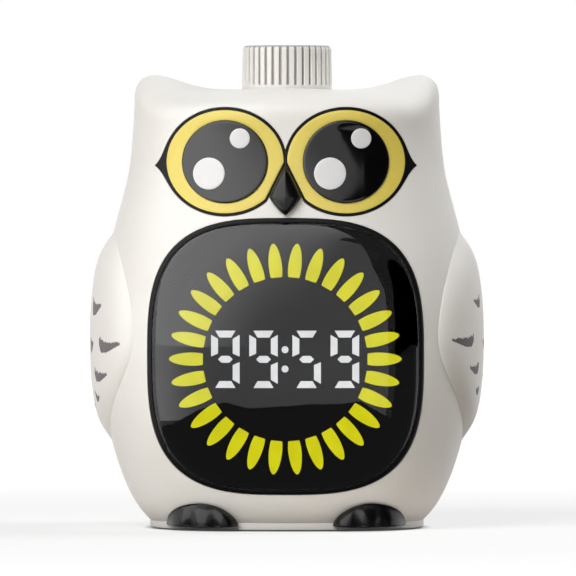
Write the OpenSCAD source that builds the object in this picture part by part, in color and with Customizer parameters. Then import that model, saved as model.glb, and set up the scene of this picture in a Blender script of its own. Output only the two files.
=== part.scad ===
// Owl-shaped visual countdown timer that stands on a table.
// Millimetres. The origin is the middle of the resting face, +Z is up and the owl looks along -Y.

/* [Body] */
// Widest width of the body, without the wings
body_w = 83; // [80:0.5:88]
// Depth of the body at its widest level
body_d = 70; // [66:0.5:76]
// Height of the widest level above the table
belly_z = 42; // [40:0.5:45]
// Width of the body where it meets the plinth
base_w = 60.8; // [60.4:0.2:62]
// Width of the body at its narrow level under the ears
waist_w = 67.6; // [66:0.2:70]
// Height of that narrow level
waist_z = 90; // [89:0.5:94]
// Height at which the head starts to round over
shoulder_z = 88; // [87:0.5:90]
// Top of the head between the ears
head_z = 97; // [96.6:0.2:98]
// How far the corners of the head are drawn up into ears
ear_h = 5.7; // [4:0.1:6.5]
// Wall thickness of both shells
wall = 2.4; // [2.2:0.1:2.8]
// Distance of the seam between the shells behind the middle
split_y = 18; // [17:0.5:19]

/* [Plinth] */
// Width of the plinth under the body
plinth_w = 60.8; // [60:0.2:61.6]
// Height of the top of the plinth above the table
plinth_h = 1.8; // [1.7:0.1:2.4]
// Radius of the non-slip pad
pad_r = 16; // [12:0.5:17]
// Thickness of the non-slip pad
pad_t = 1.2; // [1:0.1:1.4]
// How far the pad stands out of the plinth
pad_proud = 0.2; // [0.1:0.1:0.4]

/* [Window] */
// Width of the display window over its bezel
window_w = 60.6; // [57:0.2:61.4]
// Height of the display window over its bezel
window_h = 60.6; // [57:0.2:61]
// Height of the middle of the window
window_z = 38.5; // [38.3:0.1:39.5]
// Width of the bezel ring
bezel_w = 0.9; // [0.7:0.1:1.2]
// How far the lens bulges out of the body
lens_lift = 1.2; // [0.8:0.1:1.6]
// Height of the middle of the petal ring
dial_z = 38; // [37.4:0.2:38.6]
// Inner radius of the petal ring
petal_r1 = 17.9; // [17.6:0.1:18.4]
// Outer radius of the petal ring
petal_r2 = 25.3; // [24:0.1:25.6]
// Greatest width of a petal
petal_w = 2.9; // [2.4:0.1:3.2]
// Height of a digit
digit_h = 12.5; // [11:0.1:13]
// Width of a digit
digit_w = 6.2; // [5.6:0.1:6.6]
// Thickness of a digit's segments
segment_t = 1.5; // [1.2:0.1:1.7]

/* [Face] */
// Distance of an eye's middle from the middle of the face
eye_x = 13.3; // [13.1:0.1:13.6]
// Height of the middle of the eyes
eye_z = 81.2; // [80.8:0.1:81.6]
// Width of the yellow iris
iris_w = 25.8; // [25:0.1:26]
// Height of the yellow iris
iris_h = 22.6; // [22:0.1:23]
// Width of the black pupil
pupil_w = 18.8; // [17:0.1:19.4]
// Height of the black pupil
pupil_h = 18; // [17:0.1:18.4]
// Width of the black line around the iris
liner_w = 0.65; // [0.5:0.05:0.8]
// Width of the beak
beak_w = 7; // [6:0.1:8]
// How far the beak stands out
beak_d = 4.6; // [3.5:0.1:6]

/* [Wings and feet] */
// Thickness of a wing
wing_t = 2.2; // [1.8:0.1:2.6]
// Height of the top of a wing
wing_top_z = 65.5; // [64:0.5:67]
// Height of the tip of a wing
wing_tip_z = 19.5; // [18:0.5:21]
// Width of a foot
foot_w = 16; // [14:0.2:17]
// How far a foot stands out in front of the body
foot_d = 6; // [5:0.1:7]

/* [Knob] */
// Radius of the knob
knob_r = 10; // [9:0.1:10.6]
// How far the knob stands above the top of the head
knob_rise = 10; // [9:0.2:12]
// How deep the knob sits in its well in the head
well_d = 2.4; // [2:0.1:3]
// Travel of the knob when it is pressed
press_travel = 0.5; // [0.3:0.05:0.7]
// Number of grooves around the knob
groove_count = 36; // [24:1:40]

/* [Electronics] */
// Radius of the encoder shaft
shaft_r = 3; // [2.8:0.05:3]
// Width of the battery cell
battery_w = 34; // [28:0.5:36]
// Height of the battery cell
battery_h = 36; // [30:0.5:38]
// Thickness of the battery cell
battery_t = 8; // [5:0.5:9]
// Radius of the speaker
speaker_r = 13.5; // [11:0.5:14]
// Thickness of a circuit board
board_t = 1.6; // [1.2:0.1:1.6]
// Travel of the volume switch to each side of its middle position
switch_travel = 2; // [1.5:0.1:2]

/* [Hidden] */
$fn = 48;
// Gap around inlaid and glued pieces
fit_gap = 0.1;
// Gap between a curved piece and the curved wall that carries it
seat_gap = 0.25;
// Gap between a turning or sliding piece and its bearing
run_gap = 0.05;
// Gap around pieces that pass through a wall
pass_gap = 0.4;

// Shape powers of the body: plan, lower side, tuck at the foot, flank and the roll of the head
plan_n = 2.5;
belly_n = 2.2;
tuck_n = 12;
flank_n = 1.2;
dome_n = 4;
// How much of the lower side's lean is rolled under close to the plinth
tuck = 1.9;

// The ears stand in the upper corners of the head, and the crown rises a little between them
ear_x = waist_w / 2 + 0.2;
ear_spread = 11.1;
ear_depth = 13;
ear_root = 10;
ear_foot_z = shoulder_z - ear_root;
crown_h = 0.5;
crown_spread = 11;

// Grid of the body's outer and inner surfaces
body_steps = 56;
side_steps = 20;
cap_steps = 9;
cavity_steps = 40;
cavity_side_steps = 12;
cavity_cap_steps = 6;
// Crowds the rings of a body towards its foot
level_n = 1.35;

function ramp(t) = let (u = min(1, max(0, t))) u * u * (3 - 2 * u);
function signed_pow(v, p) = sign(v) * pow(abs(v), p);

// Half width and half depth of the body at height z, before the corners are drawn up
function flank_w(z) =
    z <= belly_z
    ? let (t = (belly_z - z) / (belly_z - plinth_h))
        body_w / 2 - ((body_w - base_w) / 2 - tuck) * pow(t, belly_n) - tuck * pow(t, tuck_n)
    : waist_w / 2 + (body_w - waist_w) / 4
        * (1 + cos(180 * pow(min(1, (z - belly_z) / (waist_z - belly_z)), flank_n)));
function dome_share(z) =
    let (t = min(1, max(0, (z - shoulder_z) / (head_z - shoulder_z))))
    pow(1 - pow(t, dome_n), 1 / dome_n);
function half_w(z) = flank_w(min(z, shoulder_z)) * dome_share(z);
function half_d(z) = half_w(z) * body_d / body_w;

// Depth of a body section, as a share of its half size, at a share t across it
function bow(t) = pow(max(0, 1 - pow(min(1, abs(t)), plan_n)), 1 / plan_n);
function front_y(x, z, inset = 0) = -(half_d(z) - inset) * bow(x / (half_w(z) - inset));
function side_x(y, z, inset = 0) = (half_w(z) - inset) * bow(y / (half_d(z) - inset));

function ear_lift(p) =
    (ear_h * exp(-pow((abs(p.x) - ear_x) / ear_spread, 2) - pow(abs(p.y) / ear_depth, 3))
        + crown_h * exp(-pow(p.x / crown_spread, 2)))
    * ramp((p.z - ear_foot_z) / (shoulder_z - ear_foot_z));
function lifted(p) = [p.x, p.y, p.z + ear_lift(p)];

function side_ring(z, inset, n) = [
    for (i = [0:n - 1])
        let (a = 360 * i / n)
        lifted([(half_w(z) - inset) * signed_pow(cos(a), 2 / plan_n),
                (half_d(z) - inset) * signed_pow(sin(a), 2 / plan_n), z])];
function cap_ring(phi, inset, n) = [
    for (i = [0:n - 1])
        let (a = 360 * i / n, q = pow(cos(phi), 2 / dome_n))
        lifted([(half_w(shoulder_z) - inset) * q * signed_pow(cos(a), 2 / plan_n),
                (half_d(shoulder_z) - inset) * q * signed_pow(sin(a), 2 / plan_n),
                shoulder_z + (head_z - shoulder_z - inset) * pow(sin(phi), 2 / dome_n)])];
function body_rings(bottom_z, inset, n, sides, caps) = concat(
    [for (k = [0:sides])
        side_ring(bottom_z + (shoulder_z - bottom_z) * pow(k / sides, level_n), inset, n)],
    [for (k = [1:caps - 1]) cap_ring(90 * pow(k / caps, 1.6), inset, n)]);

// Closed solid through rings from bottom to top, with a flat bottom and a pointed top
module ring_solid(rings, apex) {
    n = len(rings[0]);
    top = len(rings) * n;
    polyhedron(
        points = concat([for (r = rings) each r], [apex]),
        faces = concat(
            [[for (i = [0:n - 1]) i]],
            [for (k = [0:len(rings) - 2], i = [0:n - 1])
                let (j = (i + 1) % n)
                each [[k * n + i, (k + 1) * n + i, (k + 1) * n + j],
                      [k * n + i, (k + 1) * n + j, k * n + j]]],
            [for (i = [0:n - 1])
                [top - n + (i + 1) % n, top - n + i, top]]));
}

module body_outside() {
    ring_solid(body_rings(plinth_h, 0, body_steps, side_steps, cap_steps),
               lifted([0, 0, head_z]));
}

module body_inside() {
    ring_solid(body_rings(plinth_h - fit_gap, wall, cavity_steps, cavity_side_steps, cavity_cap_steps),
               lifted([0, 0, head_z - wall]));
}

// Where a point of a flat pattern lies on the front or on the right flank, raised by off
on_front = function (u, v, off) [u, front_y(u, v) - off, v];
on_flank = function (u, v, off) [side_x(u, v) + off, u, v];
// The same in front of the foot of the body and of the plinth under it
function plinth_y(x) = -plinth_w / 2 * body_d / body_w * bow(x / (plinth_w / 2));
function toe_y(x, z) = min(plinth_y(x), front_y(x, max(z, plinth_h)));
on_toe = function (u, v, off) [u, toe_y(u, v) - off, v];

// Closed plate over nested loops of a pattern, inner loop first, that follows the surface.
// rise(k, p) and sink(k, p) give the offsets of its two faces on loop k. With a middle it is
// a disc, and otherwise a ring.
module skin(place, loops, rise, sink, middle = undef) {
    n = len(loops[0]);
    m = len(loops);
    back = m * n;
    hub = 2 * m * n;
    inner_faces = is_undef(middle)
        ? [for (i = [0:n - 1])
            let (j = (i + 1) % n)
            each [[i, back + i, back + j], [i, back + j, j]]]
        : [for (i = [0:n - 1])
            let (j = (i + 1) % n)
            each [[hub, j, i], [hub + 1, back + i, back + j]]];
    polyhedron(
        points = concat(
            [for (k = [0:m - 1], p = loops[k]) place(p.x, p.y, rise(k, p))],
            [for (k = [0:m - 1], p = loops[k]) place(p.x, p.y, sink(k, p))],
            is_undef(middle) ? []
                : [place(middle.x, middle.y, rise(-1, middle)),
                   place(middle.x, middle.y, sink(-1, middle))]),
        faces = concat(
            inner_faces,
            [for (k = [0:1:m - 2], i = [0:n - 1])
                let (a = k * n + i, b = k * n + (i + 1) % n, c = a + n, d = b + n)
                each [[a, b, d], [a, d, c],
                      [back + a, back + c, back + d], [back + a, back + d, back + b]]],
            [for (i = [0:n - 1])
                let (a = (m - 1) * n + i, b = (m - 1) * n + (i + 1) % n)
                each [[a, b, back + b], [a, back + b, back + a]]]));
}

function shrunk(loop, c, s) = [for (p = loop) c + s * (p - c)];
function super_loop(c, a, b, power, n) = [
    for (i = [0:n - 1])
        let (t = 360 * i / n)
        c + [a * signed_pow(cos(t), 2 / power), b * signed_pow(sin(t), 2 / power)]];
// Vertical plate of a flat outline, from y1 to y2
module upright(y1, y2) {
    translate([0, y2, 0]) rotate([90, 0, 0]) linear_extrude(y2 - y1) children();
}
// Cylinder along Y from y1 to y2
module rod_y(x, z, r, y1, y2) {
    translate([x, y1, z]) rotate([-90, 0, 0]) cylinder(r = r, h = y2 - y1);
}

// Window: the bezel and the lens lie in one pocket, on a ledge round the opening
window_n = 3.1;
window_steps = 44;
pocket_d = wall / 2;
ledge_w = 2;
window_c = [0, window_z];
function window_loop(inset, n = window_steps) =
    super_loop(window_c, window_w / 2 - inset, window_h / 2 - inset, window_n, n);
lens_inset = bezel_w + fit_gap;
lens_rim = 0.1;
bezel_proud = 0.4;
// Film, lit plates and lens lie one behind the other in the pocket
stack_gap = 0.2;
print_t = 0.2;
film_t = 0.3;
film_back = -pocket_d + fit_gap;
film_front = film_back + film_t;
print_back = film_front + stack_gap;
print_front = print_back + print_t;
lens_back = print_front + stack_gap;

// Face: polar outlines round the middle of the right eye
eye_c = [eye_x, eye_z];
eye_steps = 48;
beak_top_z = eye_z - 0.8;
beak_corner_z = beak_top_z - beak_w;
beak_tip_z = beak_corner_z - 0.55 * beak_w;
beak_dir = [beak_w / 2, beak_corner_z - beak_top_z];
beak_normal = [-beak_dir.y, beak_dir.x] / norm(beak_dir);
liner_depth = 0.8;
tip_angle = -3;
tip_reach = 2.4;
tip_spread = 6.2;
function ellipse_r(w, h, t) = w * h / 2 / sqrt(pow(h * cos(t), 2) + pow(w * sin(t), 2));
// Distance along t to the middle of the face, and to the beak's upper edge
function middle_r(t, gap) = cos(t) < 0 ? (gap - eye_x) / cos(t) : 1000;
function beak_r(t, gap) =
    let (toward = beak_normal * [cos(t), sin(t)])
    toward < 0 ? (beak_normal * ([0, beak_top_z] - eye_c) + gap) / toward : 1000;
function angle_off(t, a) = abs((t - a + 540) % 360 - 180);
function liner_r(t, grow) = min(
    ellipse_r(iris_w + 2 * liner_w, iris_h + 2 * liner_w, t)
        + tip_reach * exp(-angle_off(t, tip_angle) / tip_spread) + grow,
    middle_r(t, fit_gap / 2 - grow), beak_r(t, fit_gap - grow));
function iris_r(t) = min(ellipse_r(iris_w, iris_h, t),
    middle_r(t, liner_w / 2), beak_r(t, liner_w));
// A loop of polar radii round the eye, with a point on the tip's own angle
function eye_loop(radius) = [
    for (i = [0:eye_steps - 1])
        let (t = tip_angle + 360 * i / eye_steps)
        eye_c + radius(t) * [cos(t), sin(t)]];
liner_loop = eye_loop(function (t) liner_r(t, 0));
iris_front = 0.3;
pupil_rise = 0.5;
liner_front = 0.05;
// Highlights on a pupil: sideways and upward from its middle, and the radius
low_dot = [-3.5, -2.6, 3.5];
high_dot = [3.3, 5.1, 2.2];
dot_t = 0.15;

// Wings: a leaf on each flank, round above and pointed below
wing_y = -4;
wing_reach_front = 20.6;
wing_reach_back = 19;
wing_c = [wing_y, (wing_top_z + wing_tip_z) / 2];
wing_steps = 18;
function leaf(t) = t > 0.5 ? sqrt(1 - pow(2 * t - 1, 2)) : pow(sin(180 * t), 0.9);
function wing_edge(i) =
    let (t = (1 + cos(180 * i / wing_steps)) / 2, z = wing_tip_z + t * (wing_top_z - wing_tip_z))
    [leaf(t), z];
wing_loop = concat(
    [for (i = [0:wing_steps - 1]) [wing_y - wing_reach_front * wing_edge(i).x, wing_edge(i).y]],
    [for (i = [wing_steps:-1:1]) [wing_y + wing_reach_back * wing_edge(i).x, wing_edge(i).y]]);
wing_shares = [0.25, 0.5, 0.68, 0.82, 0.92, 1];
wing_n = 4.2;
wing_peg_r = 1.5;
wing_peg_dz = 10;

// Feet: three-toed pads on the lower front of the body
foot_x = 18.4;
foot_z = 1.6;
foot_top = 4.55;
foot_bottom = 0.95;
toe_x = 3;
foot_steps = 32;
foot_shares = [0.3, 0.55, 0.75, 0.9, 1];
foot_loop = [
    for (i = [0:foot_steps - 1])
        let (t = 360 * i / foot_steps, up = sin(t) > 0, power = !up ? 4 : cos(t) > 0 ? 2.2 : 1.7)
        [foot_x + foot_w / 2 * signed_pow(cos(t), 2 / power),
         foot_z + (up ? foot_top : foot_bottom) * signed_pow(sin(t), 2 / power)]];
peg_r = 1.5;
foot_peg_z = plinth_h + peg_r + 0.3;

// Knob, its well and the encoder under it
knob_z = head_z + knob_rise;
well_floor_z = head_z + crown_h - well_d;
well_r = knob_r + 0.5;
well_wall = 2.4;
knob_foot_z = well_floor_z + press_travel + 0.4;
knob_top_t = 1.5;
groove_foot_z = head_z + crown_h + 0.6;
groove_turn = 2;
bushing_r = 3.5;
encoder_w = 12;
encoder_h = 6.5;
encoder_top_z = well_floor_z - well_wall;
encoder_z = encoder_top_z - encoder_h;
washer_t = 0.5;
washer_r = 5.6;
nut_t = 2;
nut_af = 10;
bushing_top_z = well_floor_z + washer_t + nut_t + 0.6;
knob_hollow_z = bushing_top_z + press_travel + 0.3;
knob_hollow_r = 7;
shaft_top_z = knob_z - knob_top_t - 0.3;
dome_z = encoder_z + 0.6;
dome_t = 0.2;
shaft_foot_z = dome_z + dome_t + press_travel + run_gap;
shaft_flat = 0.75;
rotor_r = 5;
rotor_t = 2;
rotor_z = encoder_z + 2.6;

// Screws: named by thread radius and head radius
screw_r = 1.1;
head_r = 2;
head_h = 1.5;
drive_l = 2.4;
drive_w = 0.5;
drive_d = 0.7;
screw_clear = 0.25;
head_sink = 0.3;
bore_end = 1;
tip_gap = 0.5;
display_bite = 5;
charge_bite = 5.4;
boss_r = 3.2;
boss_embed = 1;
rib_t = 2;

// Seam screws stand in bosses against the side walls
seam_z = [22, 76];
seam_boss_l = 10;
seam_grip = 2;
seam_bite = 8;
seam_head_y = split_y + seam_grip;
seam_tip_y = split_y - seam_bite;
function seam_x(z) = side_x(split_y, z, wall) - boss_r + boss_embed;

// Base screws rise into lugs at the front and the back
lug_x = 8;
lug_y = 19.9;
lug_r = 3.4;
lug_h = 5.4;
spigot_h = 2.4;
spigot_root = 0.5;
lug_z1 = plinth_h + spigot_h + 2 * fit_gap;
lug_z2 = lug_z1 + lug_h;
base_seat_z = pad_proud + head_h + head_sink;
plinth_steps = 96;

// Display stack behind the window
board_depth = 15.4;
board_edge = 6.2;
board_corner = 12;
board_y = front_y(0, dial_z) + board_depth;
board_back = board_y + board_t;
reflector_rim = 1.6;
reflector_r = petal_r2 + reflector_rim;
reflector_gap = 0.7;
// The bosses stand clear of the reflector on its diagonals, and the board reaches past them
board_boss = (reflector_r + boss_r + reflector_gap) / sqrt(2);
board_half = board_boss + board_edge;
reflector_front = front_y(reflector_r, dial_z) + wall + reflector_gap;
cell_margin = 0.3;
led_size = [1.6, 0.6, 0.8];
reflector_back = board_y - fit_gap;
petal_count = 30;
colon_dz = 2.1;
colon_r = 0.76;
digit_xs = [-13, -4.7, 4.7, 13];
digits = [9, 9, 5, 9];
// Segments that are lit in each digit, as top, upper right, lower right, bottom, upper left, middle
lit = [[9, [1, 1, 1, 1, 1, 1]], [5, [1, 0, 1, 1, 1, 1]]];

// Power: the battery on the display board, and the charge board over the plinth
tape_t = 1;
tape_inset = 3;
chip_size = [10, 1.4, 5];
chip_gap = 2;
battery_z = 16;
battery_y = board_back + tape_t;
charge_board_z = 12;
charge_board_w = 28;
charge_board_y1 = 8;
rear_z = charge_board_z + board_t;
standoff_x = 10.5;
standoff_r = 2.6;
standoff_y = 13.6;
usb_x = 7;
usb_w = 8.9;
usb_h = 3.2;
usb_l = 7.3;
usb_wall = 0.3;
usb_mid_z = rear_z + usb_h / 2 + fit_gap;
usb_mouth_y = -front_y(usb_x + usb_w / 2, usb_mid_z) - 0.5;
charge_board_y2 = -front_y(charge_board_w / 2, charge_board_z, wall) - 0.5;
switch_x = -8.5;
switch_w = 8.6;
switch_h = 3.5;
switch_l = 3.6;
switch_mid_z = rear_z + switch_h / 2 + fit_gap;
switch_y = charge_board_y2 - switch_l - 0.6;
slider_w = 2.2;
slider_h = 1.8;
slider_tip_y = -front_y(switch_x, switch_mid_z) + 1.3;

// Speaker behind its grille
speaker_z = 46;
speaker_t = 5;
speaker_ring_t = 1.4;
speaker_magnet = 1;
speaker_gap = 0.6;
speaker_rim_w = 2;
speaker_cone_w = 5.5;
speaker_edge_z = speaker_z + speaker_r + speaker_ring_t;
speaker_front_y = -front_y(0, speaker_edge_z, wall) - speaker_gap;
grille_pitch = 4.2;
grille_r = 0.9;

// Seam screw positions and the bosses that stand out of the side walls there
module at_seam_screws() {
    for (z = seam_z, s = [-1, 1]) translate([s * seam_x(z), 0, z]) children();
}
module seam_bosses(y1, y2) {
    for (z = seam_z, s = [-1, 1]) {
        rod_y(s * seam_x(z), z, boss_r, y1, y2);
        translate([s > 0 ? seam_x(z) : -seam_x(z) - 2 * boss_r, y1, z - rib_t / 2])
            cube([2 * boss_r, y2 - y1, rib_t]);
    }
}
module base_lugs(side) {
    for (s = [-1, 1]) translate([s * lug_x, side * lug_y, lug_z1]) {
        cylinder(r = lug_r, h = lug_z2 - lug_z1);
        translate([-lug_r, side > 0 ? 0 : -3 * lug_r, 0])
            cube([2 * lug_r, 3 * lug_r, lug_z2 - lug_z1]);
    }
}
module board_bosses() {
    for (x = [-1, 1], z = [-1, 1])
        rod_y(x * board_boss, window_z + z * board_boss, boss_r,
              front_y(board_boss, window_z + z * board_boss), board_y - fit_gap);
}

module front_shell() {
    color("ivory") difference() {
        body_outside();
        difference() {
            body_inside();
            seam_bosses(split_y - seam_boss_l, split_y + 1);
            base_lugs(-1);
            board_bosses();
            translate([0, 0, encoder_top_z]) cylinder(r = well_r + well_wall, h = head_z);
        }
        translate([-body_w, split_y, 0]) cube([2 * body_w, body_d, 2 * head_z]);
        window_cut();
        eye_pockets();
        translate([0, 0, well_floor_z]) cylinder(r = well_r, h = head_z);
        cylinder(r = bushing_r + run_gap, h = head_z);
        rod_y(0, beak_corner_z + 1, peg_r + fit_gap, -body_d, 0);
        for (s = [-1, 1]) {
            rod_y(s * foot_x, foot_peg_z, peg_r + fit_gap, -body_d, front_y(foot_x, foot_peg_z) + 2 * wall);
            for (d = [-1, 1]) translate([0, wing_y, wing_c.y + d * wing_peg_dz])
                rotate([0, s * 90, 0]) cylinder(r = wing_peg_r + fit_gap, h = body_w);
            for (z = seam_z) rod_y(s * seam_x(z), z, screw_r + fit_gap, seam_tip_y - bore_end, body_d);
            translate([s * lug_x, -lug_y, 0]) cylinder(r = screw_r + fit_gap, h = lug_z2 - bore_end);
        }
        for (x = [-1, 1], z = [-1, 1])
            rod_y(x * board_boss, window_z + z * board_boss, screw_r + fit_gap,
                  board_y - display_bite - bore_end, board_y + 1);
    }
}
module window_cut() {
    skin(on_front, [for (s = [0.3, 0.6, 0.85, 1]) shrunk(window_loop(-fit_gap), window_c, s)],
         function (k, p) 3, function (k, p) -pocket_d, window_c);
    upright(-body_d, board_y - 2) polygon(window_loop(lens_inset + ledge_w));
}
module eye_pockets() {
    pocket = eye_loop(function (t) liner_r(t, fit_gap));
    for (s = [0, 1]) mirror([s, 0, 0])
        skin(on_front, [for (q = [0.35, 0.7, 1]) shrunk(pocket, eye_c, q)],
             function (k, p) 2, function (k, p) -liner_depth - fit_gap, eye_c);
}

module rear_shell() {
    color("ivory") difference() {
        body_outside();
        difference() {
            body_inside();
            seam_bosses(split_y, body_d);
            base_lugs(1);
            difference() {
                rod_y(0, speaker_z, speaker_r + fit_gap + speaker_ring_t,
                      speaker_front_y - speaker_t, body_d);
                rod_y(0, speaker_z, speaker_r + fit_gap, -body_d, speaker_front_y);
            }
        }
        translate([-body_w, split_y - body_d, 0]) cube([2 * body_w, body_d, 2 * head_z]);
        at_seam_screws() {
            rod_y(0, 0, screw_r + screw_clear, 0, body_d);
            rod_y(0, 0, head_r + screw_clear, seam_head_y, body_d);
        }
        for (s = [-1, 1]) translate([s * lug_x, lug_y, 0])
            cylinder(r = screw_r + fit_gap, h = lug_z2 - bore_end);
        grille_holes();
        rear_slot(usb_x, usb_mid_z, usb_w + 2 * pass_gap, usb_h + 2 * pass_gap);
        translate([switch_x - slider_w / 2 - switch_travel - pass_gap, 0,
                   switch_mid_z - slider_h / 2 - pass_gap])
            cube([slider_w + 2 * (switch_travel + pass_gap), body_d, slider_h + 2 * pass_gap]);
    }
}
module rear_slot(x, z, w, h) {
    for (s = [-1, 1]) rod_y(x + s * (w - h) / 2, z, h / 2, split_y, body_d);
    translate([x - (w - h) / 2, split_y, z - h / 2]) cube([w - h, body_d, h]);
}
module grille_holes() {
    rod_y(0, speaker_z, grille_r, split_y, body_d);
    for (ring = [1, 2], i = [0:6 * ring - 1])
        rod_y(ring * grille_pitch * cos(60 * i / ring), speaker_z + ring * grille_pitch * sin(60 * i / ring),
              grille_r, split_y, body_d);
}

module base_plate() {
    color("ivory") difference() {
        union() {
            translate([0, 0, pad_proud]) linear_extrude(plinth_h - pad_proud)
                polygon(super_loop([0, 0], plinth_w / 2, plinth_w / 2 * body_d / body_w, plan_n,
                                   plinth_steps));
            translate([0, 0, plinth_h - spigot_root]) linear_extrude(spigot_h + spigot_root)
                polygon(super_loop([0, 0], base_w / 2 - wall - pass_gap,
                                   half_d(plinth_h) - wall - pass_gap, plan_n, plinth_steps));
            for (s = [-1, 1]) translate([s * standoff_x, standoff_y, plinth_h])
                cylinder(r = standoff_r, h = charge_board_z - fit_gap / 2 - plinth_h);
        }
        translate([0, 0, -1]) cylinder(r = pad_r + fit_gap, h = pad_t + fit_gap / 2 + 1);
        for (x = [-1, 1], y = [-1, 1]) translate([x * lug_x, y * lug_y, -1]) {
            cylinder(r = screw_r + screw_clear, h = lug_z1 + 2);
            cylinder(r = head_r + screw_clear, h = base_seat_z + 1);
        }
        for (s = [-1, 1]) translate([s * standoff_x, standoff_y, plinth_h + 2])
            cylinder(r = screw_r + fit_gap, h = charge_board_z);
    }
}
module non_slip_pad() {
    color("dimgray") cylinder(r = pad_r, h = pad_t);
}

module right_wing_shape() {
    edge_rise = 0.4;
    share = concat([0], wing_shares);
    full = seat_gap + wing_t;
    skin(on_flank, [for (s = wing_shares) shrunk(wing_loop, wing_c, s)],
         function (k, p) edge_rise + (full - edge_rise) * (1 - pow(share[k + 1], wing_n)),
         function (k, p) seat_gap, wing_c);
    for (d = [-1, 1]) let (z = wing_c.y + d * wing_peg_dz)
        translate([side_x(wing_y, z) - wall - 0.6, wing_y, z]) rotate([0, 90, 0])
            cylinder(r = wing_peg_r, h = wall + 0.6 + seat_gap + wing_t / 2);
}
module right_wing() { color("ivory") right_wing_shape(); }
module left_wing() { color("ivory") mirror([1, 0, 0]) right_wing_shape(); }

module right_foot_shape() {
    share = concat([0], foot_shares);
    c = [foot_x, foot_z];
    function toes(p) = 1 - 0.14 * exp(-pow((abs(p.x - foot_x) - toe_x) / 0.8, 2));
    skin(on_toe, [for (s = foot_shares) shrunk(foot_loop, c, s)],
         function (k, p) 0.7 + foot_d * pow(1 - pow(share[k + 1], 2.2), 0.6) * toes(p),
         function (k, p) seat_gap, c);
    peg_y = front_y(foot_x, foot_peg_z);
    rod_y(foot_x, foot_peg_z, peg_r, peg_y - 2, peg_y + wall);
}
module right_foot() { color("#202020") right_foot_shape(); }
module left_foot() { color("#202020") mirror([1, 0, 0]) right_foot_shape(); }

module beak() {
    c = [0, beak_corner_z];
    corner_points = [[0, beak_top_z], [-beak_w / 2, beak_corner_z],
                     [0, beak_tip_z], [beak_w / 2, beak_corner_z]];
    edge_steps = 6;
    kite = [for (q = [0:3], i = [0:edge_steps - 1])
        corner_points[q] + (corner_points[(q + 1) % 4] - corner_points[q]) * i / edge_steps];
    shares = [0.25, 0.5, 0.75, 1];
    share = concat([0], shares);
    color("#202020") {
        skin(on_front, [for (s = shares) shrunk(kite, c, s)],
             function (k, p) 0.5 + beak_d * pow(1 - pow(share[k + 1], 1.7), 0.9),
             function (k, p) seat_gap, c);
        peg_y = front_y(0, beak_corner_z + 1);
        rod_y(0, beak_corner_z + 1, peg_r, peg_y - 1.5, peg_y + wall + 0.5);
    }
}

module right_liner_shape() {
    skin(on_front, [for (s = [0.35, 0.7, 1]) shrunk(liner_loop, eye_c, s)],
         function (k, p) liner_front, function (k, p) -liner_depth, eye_c);
}
module right_eye_liner() { color("#202020") right_liner_shape(); }
module left_eye_liner() { color("#202020") mirror([1, 0, 0]) right_liner_shape(); }

module right_iris_shape() {
    inner = eye_loop(function (t) ellipse_r(pupil_w + 2 * fit_gap, pupil_h + 2 * fit_gap, t));
    outer = eye_loop(function (t) iris_r(t));
    skin(on_front, [inner, (inner + outer) / 2, outer],
         function (k, p) liner_front + iris_front, function (k, p) liner_front + fit_gap);
}
module right_iris() { color("gold") right_iris_shape(); }
module left_iris() { color("gold") mirror([1, 0, 0]) right_iris_shape(); }

module right_pupil_shape() {
    shares = [0.35, 0.7, 0.92, 1];
    share = concat([0], shares);
    edge = eye_loop(function (t) ellipse_r(pupil_w, pupil_h, t));
    skin(on_front, [for (s = shares) shrunk(edge, eye_c, s)],
         function (k, p) liner_front + iris_front + pupil_rise * sqrt(1 - pow(share[k + 1], 4)),
         function (k, p) liner_front + fit_gap, eye_c);
}
module right_pupil() { color("#181818") right_pupil_shape(); }
module left_pupil() { color("#181818") mirror([1, 0, 0]) right_pupil_shape(); }

// Two white dots on each pupil, at the same places in both eyes
module eye_highlights() {
    top = liner_front + iris_front + pupil_rise;
    color("white") for (s = [-1, 1], d = [low_dot, high_dot]) {
        c = [s * eye_x + d.x, eye_z + d.y];
        skin(on_front, [super_loop(c, d.z, d.z, 2, 20)],
             function (k, p) top + fit_gap + dot_t, function (k, p) top + fit_gap, c);
    }
}

module display_lens() {
    shares = [0.3, 0.55, 0.75, 0.88, 0.96, 1];
    share = concat([0], shares);
    color("#303030", 0.4)
        skin(on_front, [for (s = shares) shrunk(window_loop(lens_inset), window_c, s)],
             function (k, p) lens_rim + lens_lift * sqrt(1 - pow(share[k + 1], 10)),
             function (k, p) lens_back, window_c);
}
module lens_bezel() {
    color("#181818")
        skin(on_front, [window_loop(bezel_w), window_loop(bezel_w / 2), window_loop(0)],
             function (k, p) [bezel_proud / 2, bezel_proud, lens_rim][k], function (k, p) film_back);
}
module display_film() {
    color("#101010")
        skin(on_front, [for (s = [0.3, 0.6, 0.85, 1]) shrunk(window_loop(lens_inset), window_c, s)],
             function (k, p) film_front, function (k, p) film_back, window_c);
}

// A petal along its ray: squared off at the inner end and drawn to a round tip
function petal_half(s) = petal_w / 2 * sqrt(max(0, 1 - pow((s - 0.2) / 0.8, 2)));
function petal_loop(a) =
    let (steps = [0, 0.3, 0.6, 0.85, 0.97],
         edge = [for (s = steps) [petal_r1 + s * (petal_r2 - petal_r1), -petal_half(s)]],
         all = concat(edge, [[petal_r2, 0]], [for (i = [len(steps) - 1:-1:0]) [edge[i].x, -edge[i].y]]))
    [for (p = all) [p.x * cos(a) - p.y * sin(a), dial_z + p.x * sin(a) + p.y * cos(a)]];
module printed(loop, c) {
    skin(on_front, [loop], function (k, p) print_front, function (k, p) print_back, c);
}
module petal_windows() {
    mid = (petal_r1 + petal_r2) / 2;
    color("yellow") for (i = [0:petal_count - 1])
        let (a = 360 * i / petal_count)
        printed(petal_loop(a), [mid * cos(a), dial_z + mid * sin(a)]);
}

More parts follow.
